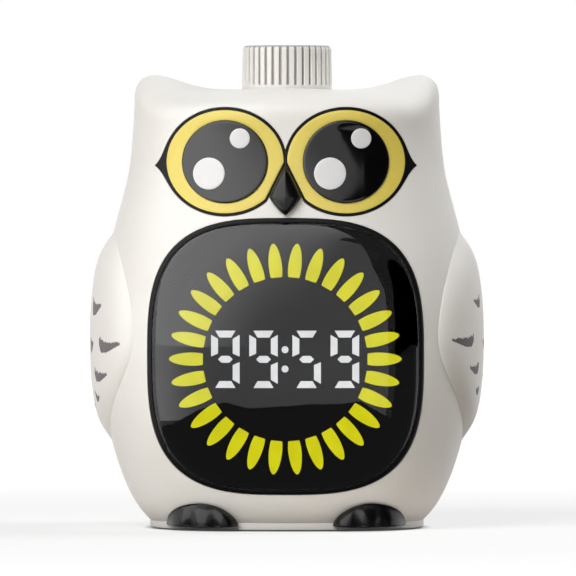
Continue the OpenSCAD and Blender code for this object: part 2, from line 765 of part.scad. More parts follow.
// Segments of one digit, round its own middle: top, upper right, lower right, bottom, upper left, middle
function digit_parts() =
    let (w = digit_w / 2, h = digit_h / 2, t = segment_t, g = 0.3, cut = 0.6)
    [[[w - t - g, h - t], [w - g - cut, h], [-w + g + cut, h], [-w + t + g, h - t]],
     [[w, cut], [w, h - g - cut], [w - t, h - t - g], [w - t, t / 2 + g + 0.2]],
     [[w - t, -t / 2 - g - 0.2], [w - t, -h + t + g], [w, -h + g + cut], [w, -cut]],
     [[-w + t + g, -h + t], [-w + g + cut, -h], [w - g - cut, -h], [w - t - g, -h + t]],
     [[-w + t, t / 2 + g + 0.2], [-w + t, h - t - g], [-w, h - g - cut], [-w, cut]],
     [[w - t, 0], [w - t - t / 2, t / 2], [-w + t + t / 2, t / 2], [-w + t, 0],
      [-w + t + t / 2, -t / 2], [w - t - t / 2, -t / 2]]];
function centre_of(loop) = [for (p = loop) 1] * loop / len(loop);
module digit_segments() {
    parts = digit_parts();
    color("white") {
        for (i = [0:3]) let (shown = lit[search([digits[i]], lit)[0]][1]) for (k = [0:5])
            if (shown[k] == 1) {
                loop = [for (p = parts[k]) p + [digit_xs[i], dial_z]];
                printed(loop, centre_of(loop));
            }
        for (s = [-1, 1]) let (c = [0, dial_z + s * colon_dz])
            printed(super_loop(c, colon_r, colon_r, 2, 12), c);
    }
}

// Light box: one cell behind each petal and one behind each digit
module light_reflector() {
    mid = (petal_r1 + petal_r2) / 2;
    color("white") difference() {
        rod_y(0, dial_z, reflector_r, reflector_front, reflector_back);
        for (i = [0:petal_count - 1]) translate([0, 0, dial_z]) rotate([0, -360 * i / petal_count, 0])
            translate([mid, (reflector_front + reflector_back) / 2, 0])
                cube([petal_r2 - petal_r1 - 2 * cell_margin, body_d, petal_w - 3 * cell_margin],
                     center = true);
        for (x = digit_xs) translate([x, (reflector_front + reflector_back) / 2, dial_z])
            cube([digit_w, body_d, digit_h], center = true);
    }
}
module display_board() {
    color("darkgreen") difference() {
        upright(board_y, board_back) translate([0, window_z]) {
            square([2 * board_half, 2 * (board_half - board_corner)], center = true);
            square([2 * (board_half - board_corner), 2 * board_half], center = true);
            for (x = [-1, 1], z = [-1, 1])
                translate([x, z] * (board_half - board_corner)) circle(r = board_corner);
        }
        for (x = [-1, 1], z = [-1, 1])
            rod_y(x * board_boss, window_z + z * board_boss, screw_r + screw_clear,
                  board_y - 1, board_back + 1);
    }
}
module display_leds() {
    mid = (petal_r1 + petal_r2) / 2;
    color("khaki") translate([0, board_y - led_size.y / 2, dial_z]) {
        for (i = [0:petal_count - 1]) rotate([0, -360 * i / petal_count, 0])
            translate([mid, 0, 0]) cube(led_size, center = true);
        for (x = digit_xs, z = [-1, 0, 1]) translate([x, 0, z * digit_h / 3])
            cube(led_size, center = true);
    }
}
module controller_chip() {
    color("#202020") translate([-chip_size.x / 2, board_back, battery_z + battery_h + chip_gap])
        cube(chip_size);
}
module battery_cell() {
    color("silver") translate([-battery_w / 2, battery_y, battery_z])
        cube([battery_w, battery_t, battery_h]);
}
module battery_tape() {
    color("gray") translate([-battery_w / 2 + tape_inset, board_back, battery_z + tape_inset])
        cube([battery_w - 2 * tape_inset, tape_t, battery_h - 2 * tape_inset]);
}

// Flat cable of width w along a path of [y, z] points, with its left edge at x
ribbon_t = 0.6;
function ribbon_normal(path, i) =
    let (a = path[max(0, i - 1)], b = path[min(len(path) - 1, i + 1)], d = (b - a) / norm(b - a))
    [-d.y, d.x] * ribbon_t / 2;
module ribbon(path, x, w) {
    steps = [0:len(path) - 1];
    left = [for (i = steps) path[i] + ribbon_normal(path, i)];
    right = [for (i = steps) path[len(path) - 1 - i] - ribbon_normal(path, len(path) - 1 - i)];
    translate([x, 0, 0]) rotate([90, 0, 90]) linear_extrude(w) polygon(concat(left, right));
}
lead_w = 2.5;
lead_bend = 2;
cable_edge = 1.6;
cable_z = window_z + board_half - cable_edge;
module battery_lead() {
    mid = battery_y + battery_t / 2;
    top = battery_z + battery_h;
    path = [[mid, top], [mid, top + lead_bend], [mid - lead_bend / 2, top + 2 * lead_bend],
            [board_back + lead_bend / 2, top + 3 * lead_bend], [board_back, top + 3 * lead_bend]];
    color("firebrick") ribbon(path, battery_w / 2 - 2 * lead_w, lead_w);
}
module speaker_lead() {
    start = speaker_front_y - speaker_t - speaker_magnet;
    low = speaker_z + lead_bend;
    path = [[start, low], [start - lead_bend, low], [start - 2 * lead_bend, low + lead_bend],
            [board_back + 2 * lead_bend, cable_z - lead_bend / 2],
            [board_back + lead_bend, cable_z], [board_back, cable_z]];
    color("#303030") ribbon(path, -2 * lead_w, lead_w);
}
module encoder_ribbon() {
    start_y = -encoder_w / 4;
    path = [[start_y, encoder_z], [start_y, encoder_z - 2 * lead_bend],
            [start_y - lead_bend, encoder_z - 4 * lead_bend],
            [board_back + 2 * lead_bend, cable_z + lead_bend],
            [board_back + lead_bend, cable_z], [board_back, cable_z]];
    color("gray") ribbon(path, lead_w / 4, 2 * lead_w);
}
module charge_ribbon() {
    start_y = charge_board_y1 + lead_bend;
    low = window_z - board_half + lead_bend;
    path = [[start_y, rear_z], [start_y, rear_z + ribbon_t],
            [start_y - lead_bend / 2, rear_z + 2 * ribbon_t],
            [start_y - 2 * lead_bend, rear_z + 1.5 * ribbon_t],
            [board_back + 2 * lead_bend, low], [board_back, low]];
    color("gray") ribbon(path, -1.5 * lead_w, 3 * lead_w);
}

module charge_board() {
    color("darkgreen") difference() {
        translate([-charge_board_w / 2, charge_board_y1, charge_board_z])
            cube([charge_board_w, charge_board_y2 - charge_board_y1, board_t]);
        for (s = [-1, 1]) translate([s * standoff_x, standoff_y, 0])
            cylinder(r = screw_r + screw_clear, h = body_d);
    }
}
module usb_outline(grow) {
    r = usb_h / 2 + grow;
    for (s = [-1, 1]) translate([s * (usb_w - usb_h) / 2, 0]) circle(r = r);
    square([usb_w - usb_h, 2 * r], center = true);
}
module usb_socket() {
    color("silver") translate([usb_x, 0, usb_mid_z]) difference() {
        upright(usb_mouth_y - usb_l, usb_mouth_y) usb_outline(0);
        upright(usb_mouth_y - usb_l + 1, usb_mouth_y + 1) usb_outline(-usb_wall);
    }
}
module usb_tongue() {
    color("#202020") translate([usb_x - 3.35, usb_mouth_y - usb_l + 1, usb_mid_z - 0.35])
        cube([6.7, usb_l - 2.2, 0.7]);
}
module switch_body() {
    slot_w = slider_w + 2 * switch_travel + 2 * pass_gap;
    color("#303030") difference() {
        translate([switch_x - switch_w / 2, switch_y, rear_z + fit_gap / 2])
            cube([switch_w, switch_l, switch_h]);
        translate([switch_x - slot_w / 2, switch_y + 1, switch_mid_z - slider_h / 2 - run_gap])
            cube([slot_w, switch_l, slider_h + 2 * run_gap]);
    }
}
module volume_slider() {
    root_y = switch_y + 1 + run_gap;
    color("#303030") translate([switch_x - slider_w / 2, root_y, switch_mid_z - slider_h / 2])
        cube([slider_w, slider_tip_y - root_y, slider_h]);
}

module speaker() {
    color("#303030") {
        step = speaker_t / 3;
        rod_y(0, speaker_z, speaker_r, speaker_front_y - step, speaker_front_y - fit_gap);
        rod_y(0, speaker_z, speaker_r - speaker_rim_w,
              speaker_front_y - 2 * step, speaker_front_y - step / 2);
        rod_y(0, speaker_z, speaker_r - speaker_cone_w,
              speaker_front_y - speaker_t - speaker_magnet, speaker_front_y - step / 2);
    }
}

// Outline of the shaft or of the bore round it, with one flat
module shaft_outline(grow) {
    difference() {
        circle(r = shaft_r + grow);
        translate([-shaft_r * 2, shaft_r - shaft_flat + grow]) square(shaft_r * 4);
    }
}
module encoder_housing() {
    color("silver") difference() {
        union() {
            translate([-encoder_w / 2, -encoder_w / 2, encoder_z])
                cube([encoder_w, encoder_w, encoder_h - fit_gap / 2]);
            translate([0, 0, encoder_z]) cylinder(r = bushing_r, h = bushing_top_z - encoder_z);
        }
        translate([0, 0, dome_z]) cylinder(r = shaft_r + run_gap, h = knob_z);
        translate([0, 0, rotor_z - run_gap]) cylinder(r = rotor_r + run_gap, h = rotor_t + 2 * run_gap);
    }
}
module encoder_rotor() {
    color("white") translate([0, 0, rotor_z]) linear_extrude(rotor_t) difference() {
        circle(r = rotor_r);
        shaft_outline(run_gap);
    }
}
module encoder_shaft() {
    // The flat runs past the rotor at the foot and into the knob at the top, and the neck is round
    neck_z = rotor_z + rotor_t + press_travel + 0.3;
    color("#404040") {
        translate([0, 0, shaft_foot_z]) linear_extrude(neck_z - shaft_foot_z) shaft_outline(0);
        translate([0, 0, neck_z]) cylinder(r = shaft_r, h = knob_hollow_z - neck_z);
        translate([0, 0, knob_hollow_z]) linear_extrude(shaft_top_z - knob_hollow_z) shaft_outline(0);
    }
}
module encoder_washer() {
    color("silver") translate([0, 0, well_floor_z + fit_gap / 2]) difference() {
        cylinder(r = washer_r, h = washer_t - fit_gap);
        translate([0, 0, -1]) cylinder(r = bushing_r + run_gap, h = washer_t + 2);
    }
}
module encoder_nut() {
    color("silver") translate([0, 0, well_floor_z + washer_t]) difference() {
        cylinder(r = nut_af / sqrt(3), h = nut_t, $fn = 6);
        translate([0, 0, -1]) cylinder(r = bushing_r + run_gap, h = nut_t + 2);
    }
}
module click_dome() {
    color("silver") translate([0, 0, dome_z]) cylinder(r = shaft_r - pass_gap, h = dome_t);
}

module knob() {
    fillet = 1;
    draft = 0.15;
    top_r = knob_r - draft - fillet;
    groove_w = 0.6;
    groove_d = 0.6;
    color("ivory") difference() {
        rotate_extrude() difference() {
            union() {
                polygon([[0, knob_foot_z], [knob_r, knob_foot_z], [knob_r - draft, knob_z - fillet],
                         [top_r, knob_z - fillet], [top_r, knob_z], [0, knob_z]]);
                translate([top_r, knob_z - fillet]) circle(r = fillet);
            }
            translate([0, knob_foot_z - 1]) square([knob_hollow_r, knob_hollow_z - knob_foot_z + 1]);
        }
        translate([0, 0, knob_foot_z])
            linear_extrude(shaft_top_z + fit_gap - knob_foot_z) shaft_outline(run_gap);
        for (i = [0:groove_count - 1]) rotate([0, 0, groove_turn + 360 * i / groove_count])
            translate([knob_r - groove_d, -groove_w / 2, groove_foot_z])
                cube([2, groove_w, knob_z]);
    }
}

// A pan-head screw along +Z, with the seat of its head at 0
module screw(l) {
    difference() {
        union() {
            translate([0, 0, -head_h]) cylinder(r = head_r, h = head_h);
            cylinder(r = screw_r, h = l);
        }
        for (a = [0, 90]) rotate([0, 0, a])
            translate([-drive_l / 2, -drive_w / 2, -head_h - drive_d])
                cube([drive_l, drive_w, 2 * drive_d]);
    }
}
module seam_screws() {
    color("silver") at_seam_screws() translate([0, seam_head_y, 0]) rotate([90, 0, 0])
        screw(seam_head_y - seam_tip_y);
}
module base_screws() {
    color("silver") for (x = [-1, 1], y = [-1, 1]) translate([x * lug_x, y * lug_y, base_seat_z])
        screw(lug_z2 - bore_end - tip_gap - base_seat_z);
}
module display_screws() {
    color("silver") for (x = [-1, 1], z = [-1, 1])
        translate([x * board_boss, board_back, window_z + z * board_boss]) rotate([90, 0, 0])
            screw(board_t + display_bite);
}
module charge_board_screws() {
    color("silver") for (s = [-1, 1]) translate([s * standoff_x, standoff_y, charge_board_z + board_t])
        rotate([180, 0, 0]) screw(board_t + charge_bite);
}

front_shell();
rear_shell();
base_plate();
non_slip_pad();
left_wing();
right_wing();
left_foot();
right_foot();
beak();
left_eye_liner();
right_eye_liner();
left_iris();
right_iris();
left_pupil();
right_pupil();
eye_highlights();
display_lens();
lens_bezel();
display_film();
petal_windows();
digit_segments();
light_reflector();
display_board();
display_leds();
controller_chip();
battery_cell();
battery_tape();
charge_board();
usb_socket();
usb_tongue();
switch_body();
volume_slider();
speaker();
encoder_housing();
encoder_rotor();
encoder_shaft();
encoder_washer();
encoder_nut();
click_dome();
knob();
seam_screws();
base_screws();
display_screws();
charge_board_screws();
battery_lead();
speaker_lead();
encoder_ribbon();
charge_ribbon();
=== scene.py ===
from math import cos, exp, pi, radians, sin, sqrt, tan
import bmesh
import bpy
from mathutils import Matrix, Vector


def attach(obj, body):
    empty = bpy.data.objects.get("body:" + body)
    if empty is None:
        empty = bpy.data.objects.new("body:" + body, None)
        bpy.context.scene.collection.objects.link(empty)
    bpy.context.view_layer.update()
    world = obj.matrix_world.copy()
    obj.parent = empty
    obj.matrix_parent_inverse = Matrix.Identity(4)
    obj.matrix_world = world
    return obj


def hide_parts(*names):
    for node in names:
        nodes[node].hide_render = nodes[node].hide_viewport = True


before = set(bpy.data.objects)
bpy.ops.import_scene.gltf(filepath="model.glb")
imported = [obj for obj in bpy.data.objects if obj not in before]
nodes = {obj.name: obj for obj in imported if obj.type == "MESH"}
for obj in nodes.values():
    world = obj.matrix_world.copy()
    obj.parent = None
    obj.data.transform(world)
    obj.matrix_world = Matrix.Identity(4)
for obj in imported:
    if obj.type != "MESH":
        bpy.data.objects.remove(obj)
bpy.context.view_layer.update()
scene = bpy.context.scene

# Front shell: the face, flanks and ears of the owl, one hollow moulding of ivory satin plastic.
# It is open below and behind, with a pocket for the window, shallow pockets for the eyes, a round
# well for the knob, and bosses inside for the display board and the seam screws.
body_w, body_d, waist_w, lean, tuck = 83, 70, 67.6, 9.2, 1.9
plinth_h, belly_z, shoulder_z, waist_z, head_z = 1.8, 42, 88, 90, 97
body_power, wall, split_y, seam = 2.5, 2.4, 18, 0.07
ear_h, ear_x, ear_spread, ear_depth, ear_root, ear_blend = 5.7, 32.6, 10.3, 13, 78, 10
crown_h, crown_spread = 0.5, 11
window_w, window_h, window_z, window_power, ledge_w = 60.6, 60.6, 38.5, 3.1, 3
board_y, board_boss = -19.55, 21.78
eye_x, eye_z, iris_w, iris_h, liner_w = 13.3, 81.2, 25.8, 22.6, 0.65
lash_h, lash_spread, lash_turn = 2.0, radians(6.5), radians(-3)
beak_w, beak_top, beak_side = 7, 80.4, 73.4
well_r, well_floor, bushing_r = 10.5, 95.1, 3.55
boss_r, boss_in, seam_levels = 3.2, 2.2, (22, 76)


def signed_power(value, power):
    return abs(value) ** power * (1 if value >= 0 else -1)


def bow(share):
    return max(0, 1 - min(1, abs(share)) ** body_power) ** (1 / body_power)


def half_w(z):
    """Half width of the body: a belly that tucks in below, a waist and a rolled-over top."""
    low = min(z, shoulder_z)
    if low <= belly_z:
        drop = (belly_z - low) / (belly_z - plinth_h)
        side = body_w / 2 - lean * drop ** 2.2 - tuck * drop ** 12
    else:
        climb = min(1, (low - belly_z) / (waist_z - belly_z)) ** 1.2
        side = waist_w / 2 + (body_w - waist_w) / 4 * (1 + cos(pi * climb))
    roll = min(1, max(0, (z - shoulder_z) / (head_z - shoulder_z)))
    return side * (1 - roll ** 4) ** 0.25


def half_d(z):
    return half_w(z) * body_d / body_w


def front_y(x, z, inset=0):
    return -(half_d(z) - inset) * bow(x / (half_w(z) - inset))


def side_x(y, z, inset=0):
    return (half_w(z) - inset) * bow(y / (half_d(z) - inset))


def on_front(x, z, off):
    return Vector((x, front_y(x, z) - off, z))


def on_rim(u, across, along, power):
    """Point of a superellipse at the share u of the way round it."""
    return (across * signed_power(cos(2 * pi * u), 2 / power),
            along * signed_power(sin(2 * pi * u), 2 / power))


def ear_lift(x, y, z):
    """How far the top is pulled up into the ears and, a little, under the knob."""
    rise = min(1, max(0, (z - ear_root) / ear_blend))
    ear = ear_h * exp(-((abs(x) - ear_x) / ear_spread) ** 2 - (abs(y) / ear_depth) ** 3)
    return (ear + crown_h * exp(-(x / crown_spread) ** 2)) * rise * rise * (3 - 2 * rise)


def wrapped(bm, around, rows, point):
    """Grid bent round into a closed skin: point(u, row) places each row at the share u round it."""
    grid = bmesh.ops.create_grid(bm, x_segments=around, y_segments=len(rows) - 1, size=0.5)
    for vert in grid["verts"]:
        vert.co = point(vert.co.x + 0.5, rows[round((vert.co.y + 0.5) * (len(rows) - 1))])
    bmesh.ops.remove_doubles(bm, verts=grid["verts"], dist=1e-4)
    bmesh.ops.recalc_face_normals(bm, faces=bm.faces)
    return bm


def laid_plate(bm, edge, middle, shares, place, rise, sink, around):
    """Plate that follows a surface, from its middle or an inner outline to the edge. rise and sink give
    the distance of its face and its back from the surface."""
    inner = middle if callable(middle) else lambda u: middle
    rows = [(share, rise) for share in shares] + [(share, sink) for share in reversed(shares)]

    def point(u, row):
        (x0, z0), (x1, z1) = inner(u), edge(u)
        x, z = x0 + row[0] * (x1 - x0), z0 + row[0] * (z1 - z0)
        return place(x, z, row[1](row[0], x, z))
    return wrapped(bm, around, rows + rows[:1] if callable(middle) else rows, point)


def level(off):
    """Face or back that keeps one distance from the surface."""
    return lambda share, x, z: off


def eased(count):
    """Shares from 0 to 1 that crowd towards the edge."""
    return [sin(pi / 2 * k / count) for k in range(count + 1)]


def body_solid(bottom, inset, around, sides, caps):
    """Whole body from its bottom to the crown, or its hollow by an inset."""
    w, d = half_w(shoulder_z) - inset, half_d(shoulder_z) - inset
    rows = [(0, 0, bottom)]
    for k in range(sides + 1):
        z = bottom + (shoulder_z - bottom) * (k / sides) ** 1.35
        rows.append((half_w(z) - inset, half_d(z) - inset, z))
    for k in range(1, caps + 1):
        turn = pi / 2 * (k / caps) ** 1.6
        q = max(0, cos(turn)) ** 0.5 if k < caps else 0
        rows.append((w * q, d * q, shoulder_z + (head_z - shoulder_z - inset) * sin(turn) ** 0.5))

    def point(u, row):
        x, y = on_rim(u, row[0], row[1], body_power)
        return Vector((x, y, row[2] + ear_lift(x, y, row[2])))
    return wrapped(bmesh.new(), around, rows, point)


def rod(bm, radius, start, end, segments=48):
    """Cylinder between two points."""
    start, end = Vector(start), Vector(end)
    turn = (end - start).to_track_quat("Z", "Y").to_matrix().to_4x4()
    bmesh.ops.create_cone(bm, cap_ends=True, segments=segments, radius1=radius, radius2=radius,
                          depth=(end - start).length,
                          matrix=Matrix.Translation((start + end) / 2) @ turn)
    return bm


def block(low, high):
    bm = bmesh.new()
    low, high = Vector(low), Vector(high)
    bmesh.ops.create_cube(bm, size=1, matrix=Matrix.Translation((low + high) / 2)
                          @ Matrix.Diagonal((*(high - low), 1)))
    return bm


def carved(base, *tools):
    """Cuts each tool out of the base, one after the other."""
    def loose(bm):
        mesh = bpy.data.meshes.new("tool")
        bm.to_mesh(mesh)
        bm.free()
        made = bpy.data.objects.new("tool", mesh)
        scene.collection.objects.link(made)
        return made
    body = loose(base)
    for bm in tools:
        tool = loose(bm)
        cut = body.modifiers.new("cut", "BOOLEAN")
        cut.solver, cut.operation, cut.object = "MANIFOLD", "DIFFERENCE", tool
        seen = body.evaluated_get(bpy.context.evaluated_depsgraph_get())
        old, body.data = body.data, bpy.data.meshes.new_from_object(seen)
        body.modifiers.clear()
        bpy.data.meshes.remove(old)
        bpy.data.meshes.remove(tool.data)
    result = bmesh.new()
    result.from_mesh(body.data)
    bpy.data.meshes.remove(body.data)
    return result


def finished(name, bm, body, node, finish, crease=32):
    """Millimetre mesh made into a piece that stands for a node."""
    bmesh.ops.scale(bm, vec=(0.001, 0.001, 0.001), verts=bm.verts)
    mesh = bpy.data.meshes.new(name)
    bm.to_mesh(mesh)
    bm.free()
    mesh.shade_smooth()
    mesh.set_sharp_from_angle(angle=radians(crease))
    mesh.materials.append(finish)
    piece = bpy.data.objects.new(name, mesh)
    scene.collection.objects.link(piece)
    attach(piece, body)
    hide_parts(node)


def paint(red, green, blue):
    """Linear colour of a screen colour."""
    return (*((c / 255 / 12.92 if c < 11 else ((c / 255 + 0.055) / 1.055) ** 2.4)
              for c in (red, green, blue)), 1)


class Shade:
    """Socket of a finish that takes part in plain arithmetic."""

    def __init__(self, socket):
        self.socket = socket

    def node(self, kind, settings, values, output=0):
        tree = self.socket.id_data
        made = tree.nodes.new(kind)
        for key, value in settings.items():
            setattr(made, key, value)
        for key, value in values.items():
            if isinstance(value, Shade):
                tree.links.new(value.socket, made.inputs[key])
            else:
                made.inputs[key].default_value = value
        return Shade(made.outputs[output])

    def math(self, operation, *values):
        return self.node("ShaderNodeMath", {"operation": operation}, dict(enumerate(values)))

    def __add__(self, other): return self.math("ADD", self, other)
    def __sub__(self, other): return self.math("SUBTRACT", self, other)
    def __rsub__(self, other): return self.math("SUBTRACT", other, self)
    def __mul__(self, other): return self.math("MULTIPLY", self, other)
    def __truediv__(self, other): return self.math("DIVIDE", self, other)
    def __pow__(self, other): return self.math("POWER", self, other)
    def __abs__(self): return self.math("ABSOLUTE", self)
    __radd__, __rmul__ = __add__, __mul__

    def noise(self, scale, detail=2, rough=0.5):
        return self.node("ShaderNodeTexNoise", {}, {"Vector": self, "Scale": scale, "Detail": detail,
                                                    "Roughness": rough})

    def axis(self, which):
        return self.node("ShaderNodeSeparateXYZ", {}, {0: self}, which)

    def step(self, low, high):
        """0 below low and 1 above high, smooth between them."""
        return self.node("ShaderNodeMapRange", {"interpolation_type": "SMOOTHSTEP"},
                         {"Value": self, "From Min": low, "From Max": high})

    def mix(self, first, second):
        return self.node("ShaderNodeMix", {"data_type": "RGBA"}, {0: self, 6: first, 7: second}, 2)

    def bump(self, height, strength):
        """Bump node for a height in millimetres."""
        return self.node("ShaderNodeBump", {}, {"Height": self, "Distance": height / 1000,
                                                "Strength": strength})


def new_finish(name, **constants):
    """Material with its shader and its object coordinates."""
    made = bpy.data.materials.new(name)
    made.use_nodes = True
    shader = made.node_tree.nodes["Principled BSDF"]
    for socket, value in constants.items():
        shader.inputs[socket.replace("_", " ")].default_value = value
    where = Shade(made.node_tree.nodes.new("ShaderNodeTexCoord").outputs["Object"])
    return made, shader, where


def feed(shader, **shades):
    for socket, shade in shades.items():
        shader.id_data.links.new(shade.socket, shader.inputs[socket.replace("_", " ")])


def ivory_plastic(name, print_and_painted_shade=None):
    """Satin ivory with a fine spark-eroded grain and a faint cloud of tone. An optional mask lays mauve grey
    on it, as print on the wings and as painted shade on the knob.
    """
    made, shader, where = new_finish(name, IOR=1.5)
    cloud = where.noise(45, 3)
    tone = cloud.step(0.3, 0.7).mix(paint(237, 235, 231), paint(232, 229, 224))
    grain = where.noise(2600, 3, 0.6)
    rough = 0.36 + 0.1 * where.noise(700, 2) + 0.06 * cloud
    if print_and_painted_shade:
        mask = print_and_painted_shade(where)
        tone = mask.mix(tone, grain.mix(paint(80, 72, 76), paint(116, 107, 110)))
        rough = rough + 0.1 * mask
    feed(shader, Base_Color=tone, Roughness=rough, Normal=grain.bump(0.05, 0.25))
    return made


ivory = ivory_plastic("ivory_plastic")


def window_edge(inset):
    def edge(u):
        x, z = on_rim(u, window_w / 2 - inset, window_h / 2 - inset, window_power)
        return x, window_z + z
    return edge


def ellipse_r(w, h, turn):
    return w * h / 2 / sqrt((h * cos(turn)) ** 2 + (w * sin(turn)) ** 2)


def eye_limit(turn, middle_gap, beak_gap):
    """How far an eye reaches before it meets the other eye or the beak."""
    reach = 1000
    if cos(turn) < 0:
        reach = (middle_gap - eye_x) / cos(turn)
    normal = Vector((beak_top - beak_side, beak_w / 2)).normalized()
    toward = normal.dot(Vector((cos(turn), sin(turn))))
    if toward < 0:
        reach = min(reach, (normal.dot(Vector((-eye_x, beak_top - eye_z))) + beak_gap) / toward)
    return reach


def liner_r(turn, grow):
    """Radius of an eye's black liner, which runs out to a lash at its outer corner."""
    off = abs((turn - lash_turn + 3 * pi) % (2 * pi) - pi)
    lash = lash_h * exp(-off / lash_spread)
    return min(ellipse_r(iris_w + 2 * liner_w, iris_h + 2 * liner_w, turn) + lash + grow,
               eye_limit(turn, 0.05 - grow, 0.1 - grow))


def eye_edge(side, radius):
    def edge(u):
        turn = lash_turn + 2 * pi * u
        return side * (eye_x + radius(turn) * cos(turn)), eye_z + radius(turn) * sin(turn)
    return edge


def seam_x(z):
    """Distance of the seam screws from the middle at a height."""
    return side_x(split_y, z, wall) - boss_in


cavity = body_solid(plinth_h - 0.1, wall, 112, 40, 16)
bosses = bmesh.new()
rod(bosses, well_r + wall, (0, 0, well_floor - wall), (0, 0, 120), 96)
for side in (-1, 1):
    for z in seam_levels:
        rod(bosses, boss_r, (side * seam_x(z), split_y - 10, z), (side * seam_x(z), split_y + 1, z))
    for z in (window_z - board_boss, window_z + board_boss):
        rod(bosses, boss_r, (side * board_boss, -40, z), (side * board_boss, board_y - 0.1, z))
window_pocket = laid_plate(bmesh.new(), window_edge(-0.1), (0, window_z), (0, 0.3, 0.6, 0.85, 1), on_front,
                           level(3), level(-1.2), 160)
opening_edge = window_edge(ledge_w)
window_hole = wrapped(bmesh.new(), 160, ((0, -60), (1, -60), (1, board_y - 2), (0, board_y - 2)),
                      lambda u, row: Vector((opening_edge(u)[0] * row[0], row[1],
                                             window_z + (opening_edge(u)[1] - window_z) * row[0])))
eye_pockets = [laid_plate(bmesh.new(), eye_edge(side, lambda t: liner_r(t, 0.1)), (side * eye_x, eye_z),
                          (0, 0.35, 0.7, 1), on_front, level(2), level(-0.9), 192)
               for side in (-1, 1)]
well = rod(bmesh.new(), well_r, (0, 0, well_floor), (0, 0, 130), 128)
bore = rod(bmesh.new(), bushing_r, (0, 0, 80), (0, 0, 130), 64)
shell = carved(body_solid(plinth_h, 0, 224, 84, 40), carved(cavity, bosses),
               block((-60, split_y - seam, -5), (60, 60, 120)), window_pocket, window_hole,
               *eye_pockets, well, bore)
finished("front_shell_moulding", shell, "case", "front_shell", ivory)

# Window stack: a black printed film on the ledge of the pocket, lit yellow petals and white digits
# that shine through it, a smoked pillow-shaped lens over them, and a thin black bezel round the lens.
# Film and lens are cut and formed from clear sheet, and the bezel is pressed into the pocket.
dial_z, petal_r1, petal_r2, petal_w, petal_count = 38, 17.9, 25.3, 2.9, 30
digit_w, digit_h, segment_t, digit_xs, digits = 6.2, 12.5, 1.5, (-13, -4.7, 4.7, 13), "9959"
colon_r, colon_off, film_inset, lens_inset, bezel_w = 0.76, 2.1, 1, 1, 0.9

film_finish, shader, where = new_finish("film_black", Specular_IOR_Level=0.0)
cloud = where.noise(180, 3)
feed(shader, Base_Color=cloud.mix(paint(6, 6, 7), paint(11, 11, 12)), Roughness=0.6 + 0.2 * cloud)
film = laid_plate(bmesh.new(), window_edge(film_inset), (0, window_z), eased(14), on_front,
                  level(-0.8), level(-1.1), 160)
finished("printed_film", film, "case", "display_film", film_finish)


def lit_finish(name, dim, bright, strength):
    """Diffused light from the lamps behind it, brighter in random blotches."""
    made, shader, where = new_finish(name, Emission_Strength=strength, Roughness=0.5)
    glow = where.noise(260, 2).step(0.3, 0.7)
    feed(shader, Base_Color=glow.mix(paint(60, 58, 30), paint(76, 74, 44)),
         Emission_Color=glow.mix(dim, bright), Normal=where.noise(2500, 2).bump(0.02, 0.2))
    return made


def petal_edge(angle):
    """Outline and middle of the petal at an angle of the dial."""
    middle = (petal_r1 + petal_r2) / 2
    length = petal_r2 - petal_r1

    def edge(u):
        # Once round from the tip: a long taper from a rounded tip, and a square inner end
        share = max(0, 1 - (1 - cos(2 * pi * u)) / 2 * 1.12)
        taper = 1 - 1.85 * (0.3 - share) ** 2
        if share > 0.3:
            taper = max(0, 1 - ((share - 0.3) / 0.7) ** 2) ** 0.55
        w = petal_w / 2 * taper * min(1, abs(2 * u - 1) / 0.212) * (1 if u < 0.5 else -1)
        r = petal_r1 + length * share
        return r * cos(angle) - w * sin(angle), dial_z + r * sin(angle) + w * cos(angle)
    return edge, (middle * cos(angle), dial_z + middle * sin(angle))


def printed(bm, edge, middle, around):
    return laid_plate(bm, edge, middle, (0, 0.6, 1), on_front, level(-0.4), level(-0.6), around)


petals = bmesh.new()
for k in range(petal_count):
    printed(petals, *petal_edge(2 * pi * k / petal_count), 28)
finished("petal_lights", petals, "case", "petal_windows",
         lit_finish("petal_yellow", paint(212, 207, 2), paint(222, 218, 10), 2.6))

w, h, t = digit_w / 2, digit_h / 2, segment_t
segments = [[(w - t - 0.3, h - t), (w - 0.9, h), (0.9 - w, h), (t + 0.3 - w, h - t)],
            [(w, 0.6), (w, h - 0.9), (w - t, h - t - 0.3), (w - t, t / 2 + 0.5)],
            [(w - t, -t / 2 - 0.5), (w - t, t + 0.3 - h), (w, 0.9 - h), (w, -0.6)],
            [(t + 0.3 - w, t - h), (0.9 - w, -h), (w - 0.9, -h), (w - t - 0.3, t - h)],
            [(t - w, t / 2 + 0.5), (t - w, h - t - 0.3), (-w, h - 0.9), (-w, 0.6)],
            [(w - t, 0), (w - 1.5 * t, t / 2), (1.5 * t - w, t / 2), (t - w, 0),
             (1.5 * t - w, -t / 2), (w - 1.5 * t, -t / 2)]]
digit_bars = bmesh.new()
for x, digit in zip(digit_xs, digits):
    for k, bar in enumerate(segments):
        if digit == "5" and k == 1:
            continue
        corners = [(x + px, dial_z + pz) for px, pz in bar]

        def bar_edge(u, corners=corners):
            k = round(u * 2 * len(corners)) / 2
            (x0, z0), (x1, z1) = corners[int(k) % len(corners)], corners[int(k + 0.5) % len(corners)]
            return (x0 + x1) / 2, (z0 + z1) / 2
        printed(digit_bars, bar_edge, tuple(sum(c) / len(corners) for c in zip(*corners)), 2 * len(corners))
for z in (dial_z - colon_off, dial_z + colon_off):
    printed(digit_bars, lambda u: (colon_r * cos(2 * pi * u), z + colon_r * sin(2 * pi * u)), (0, z), 24)
finished("digit_lights", digit_bars, "case", "digit_segments",
         lit_finish("digit_white", paint(214, 214, 213), paint(225, 225, 224), 2.9))

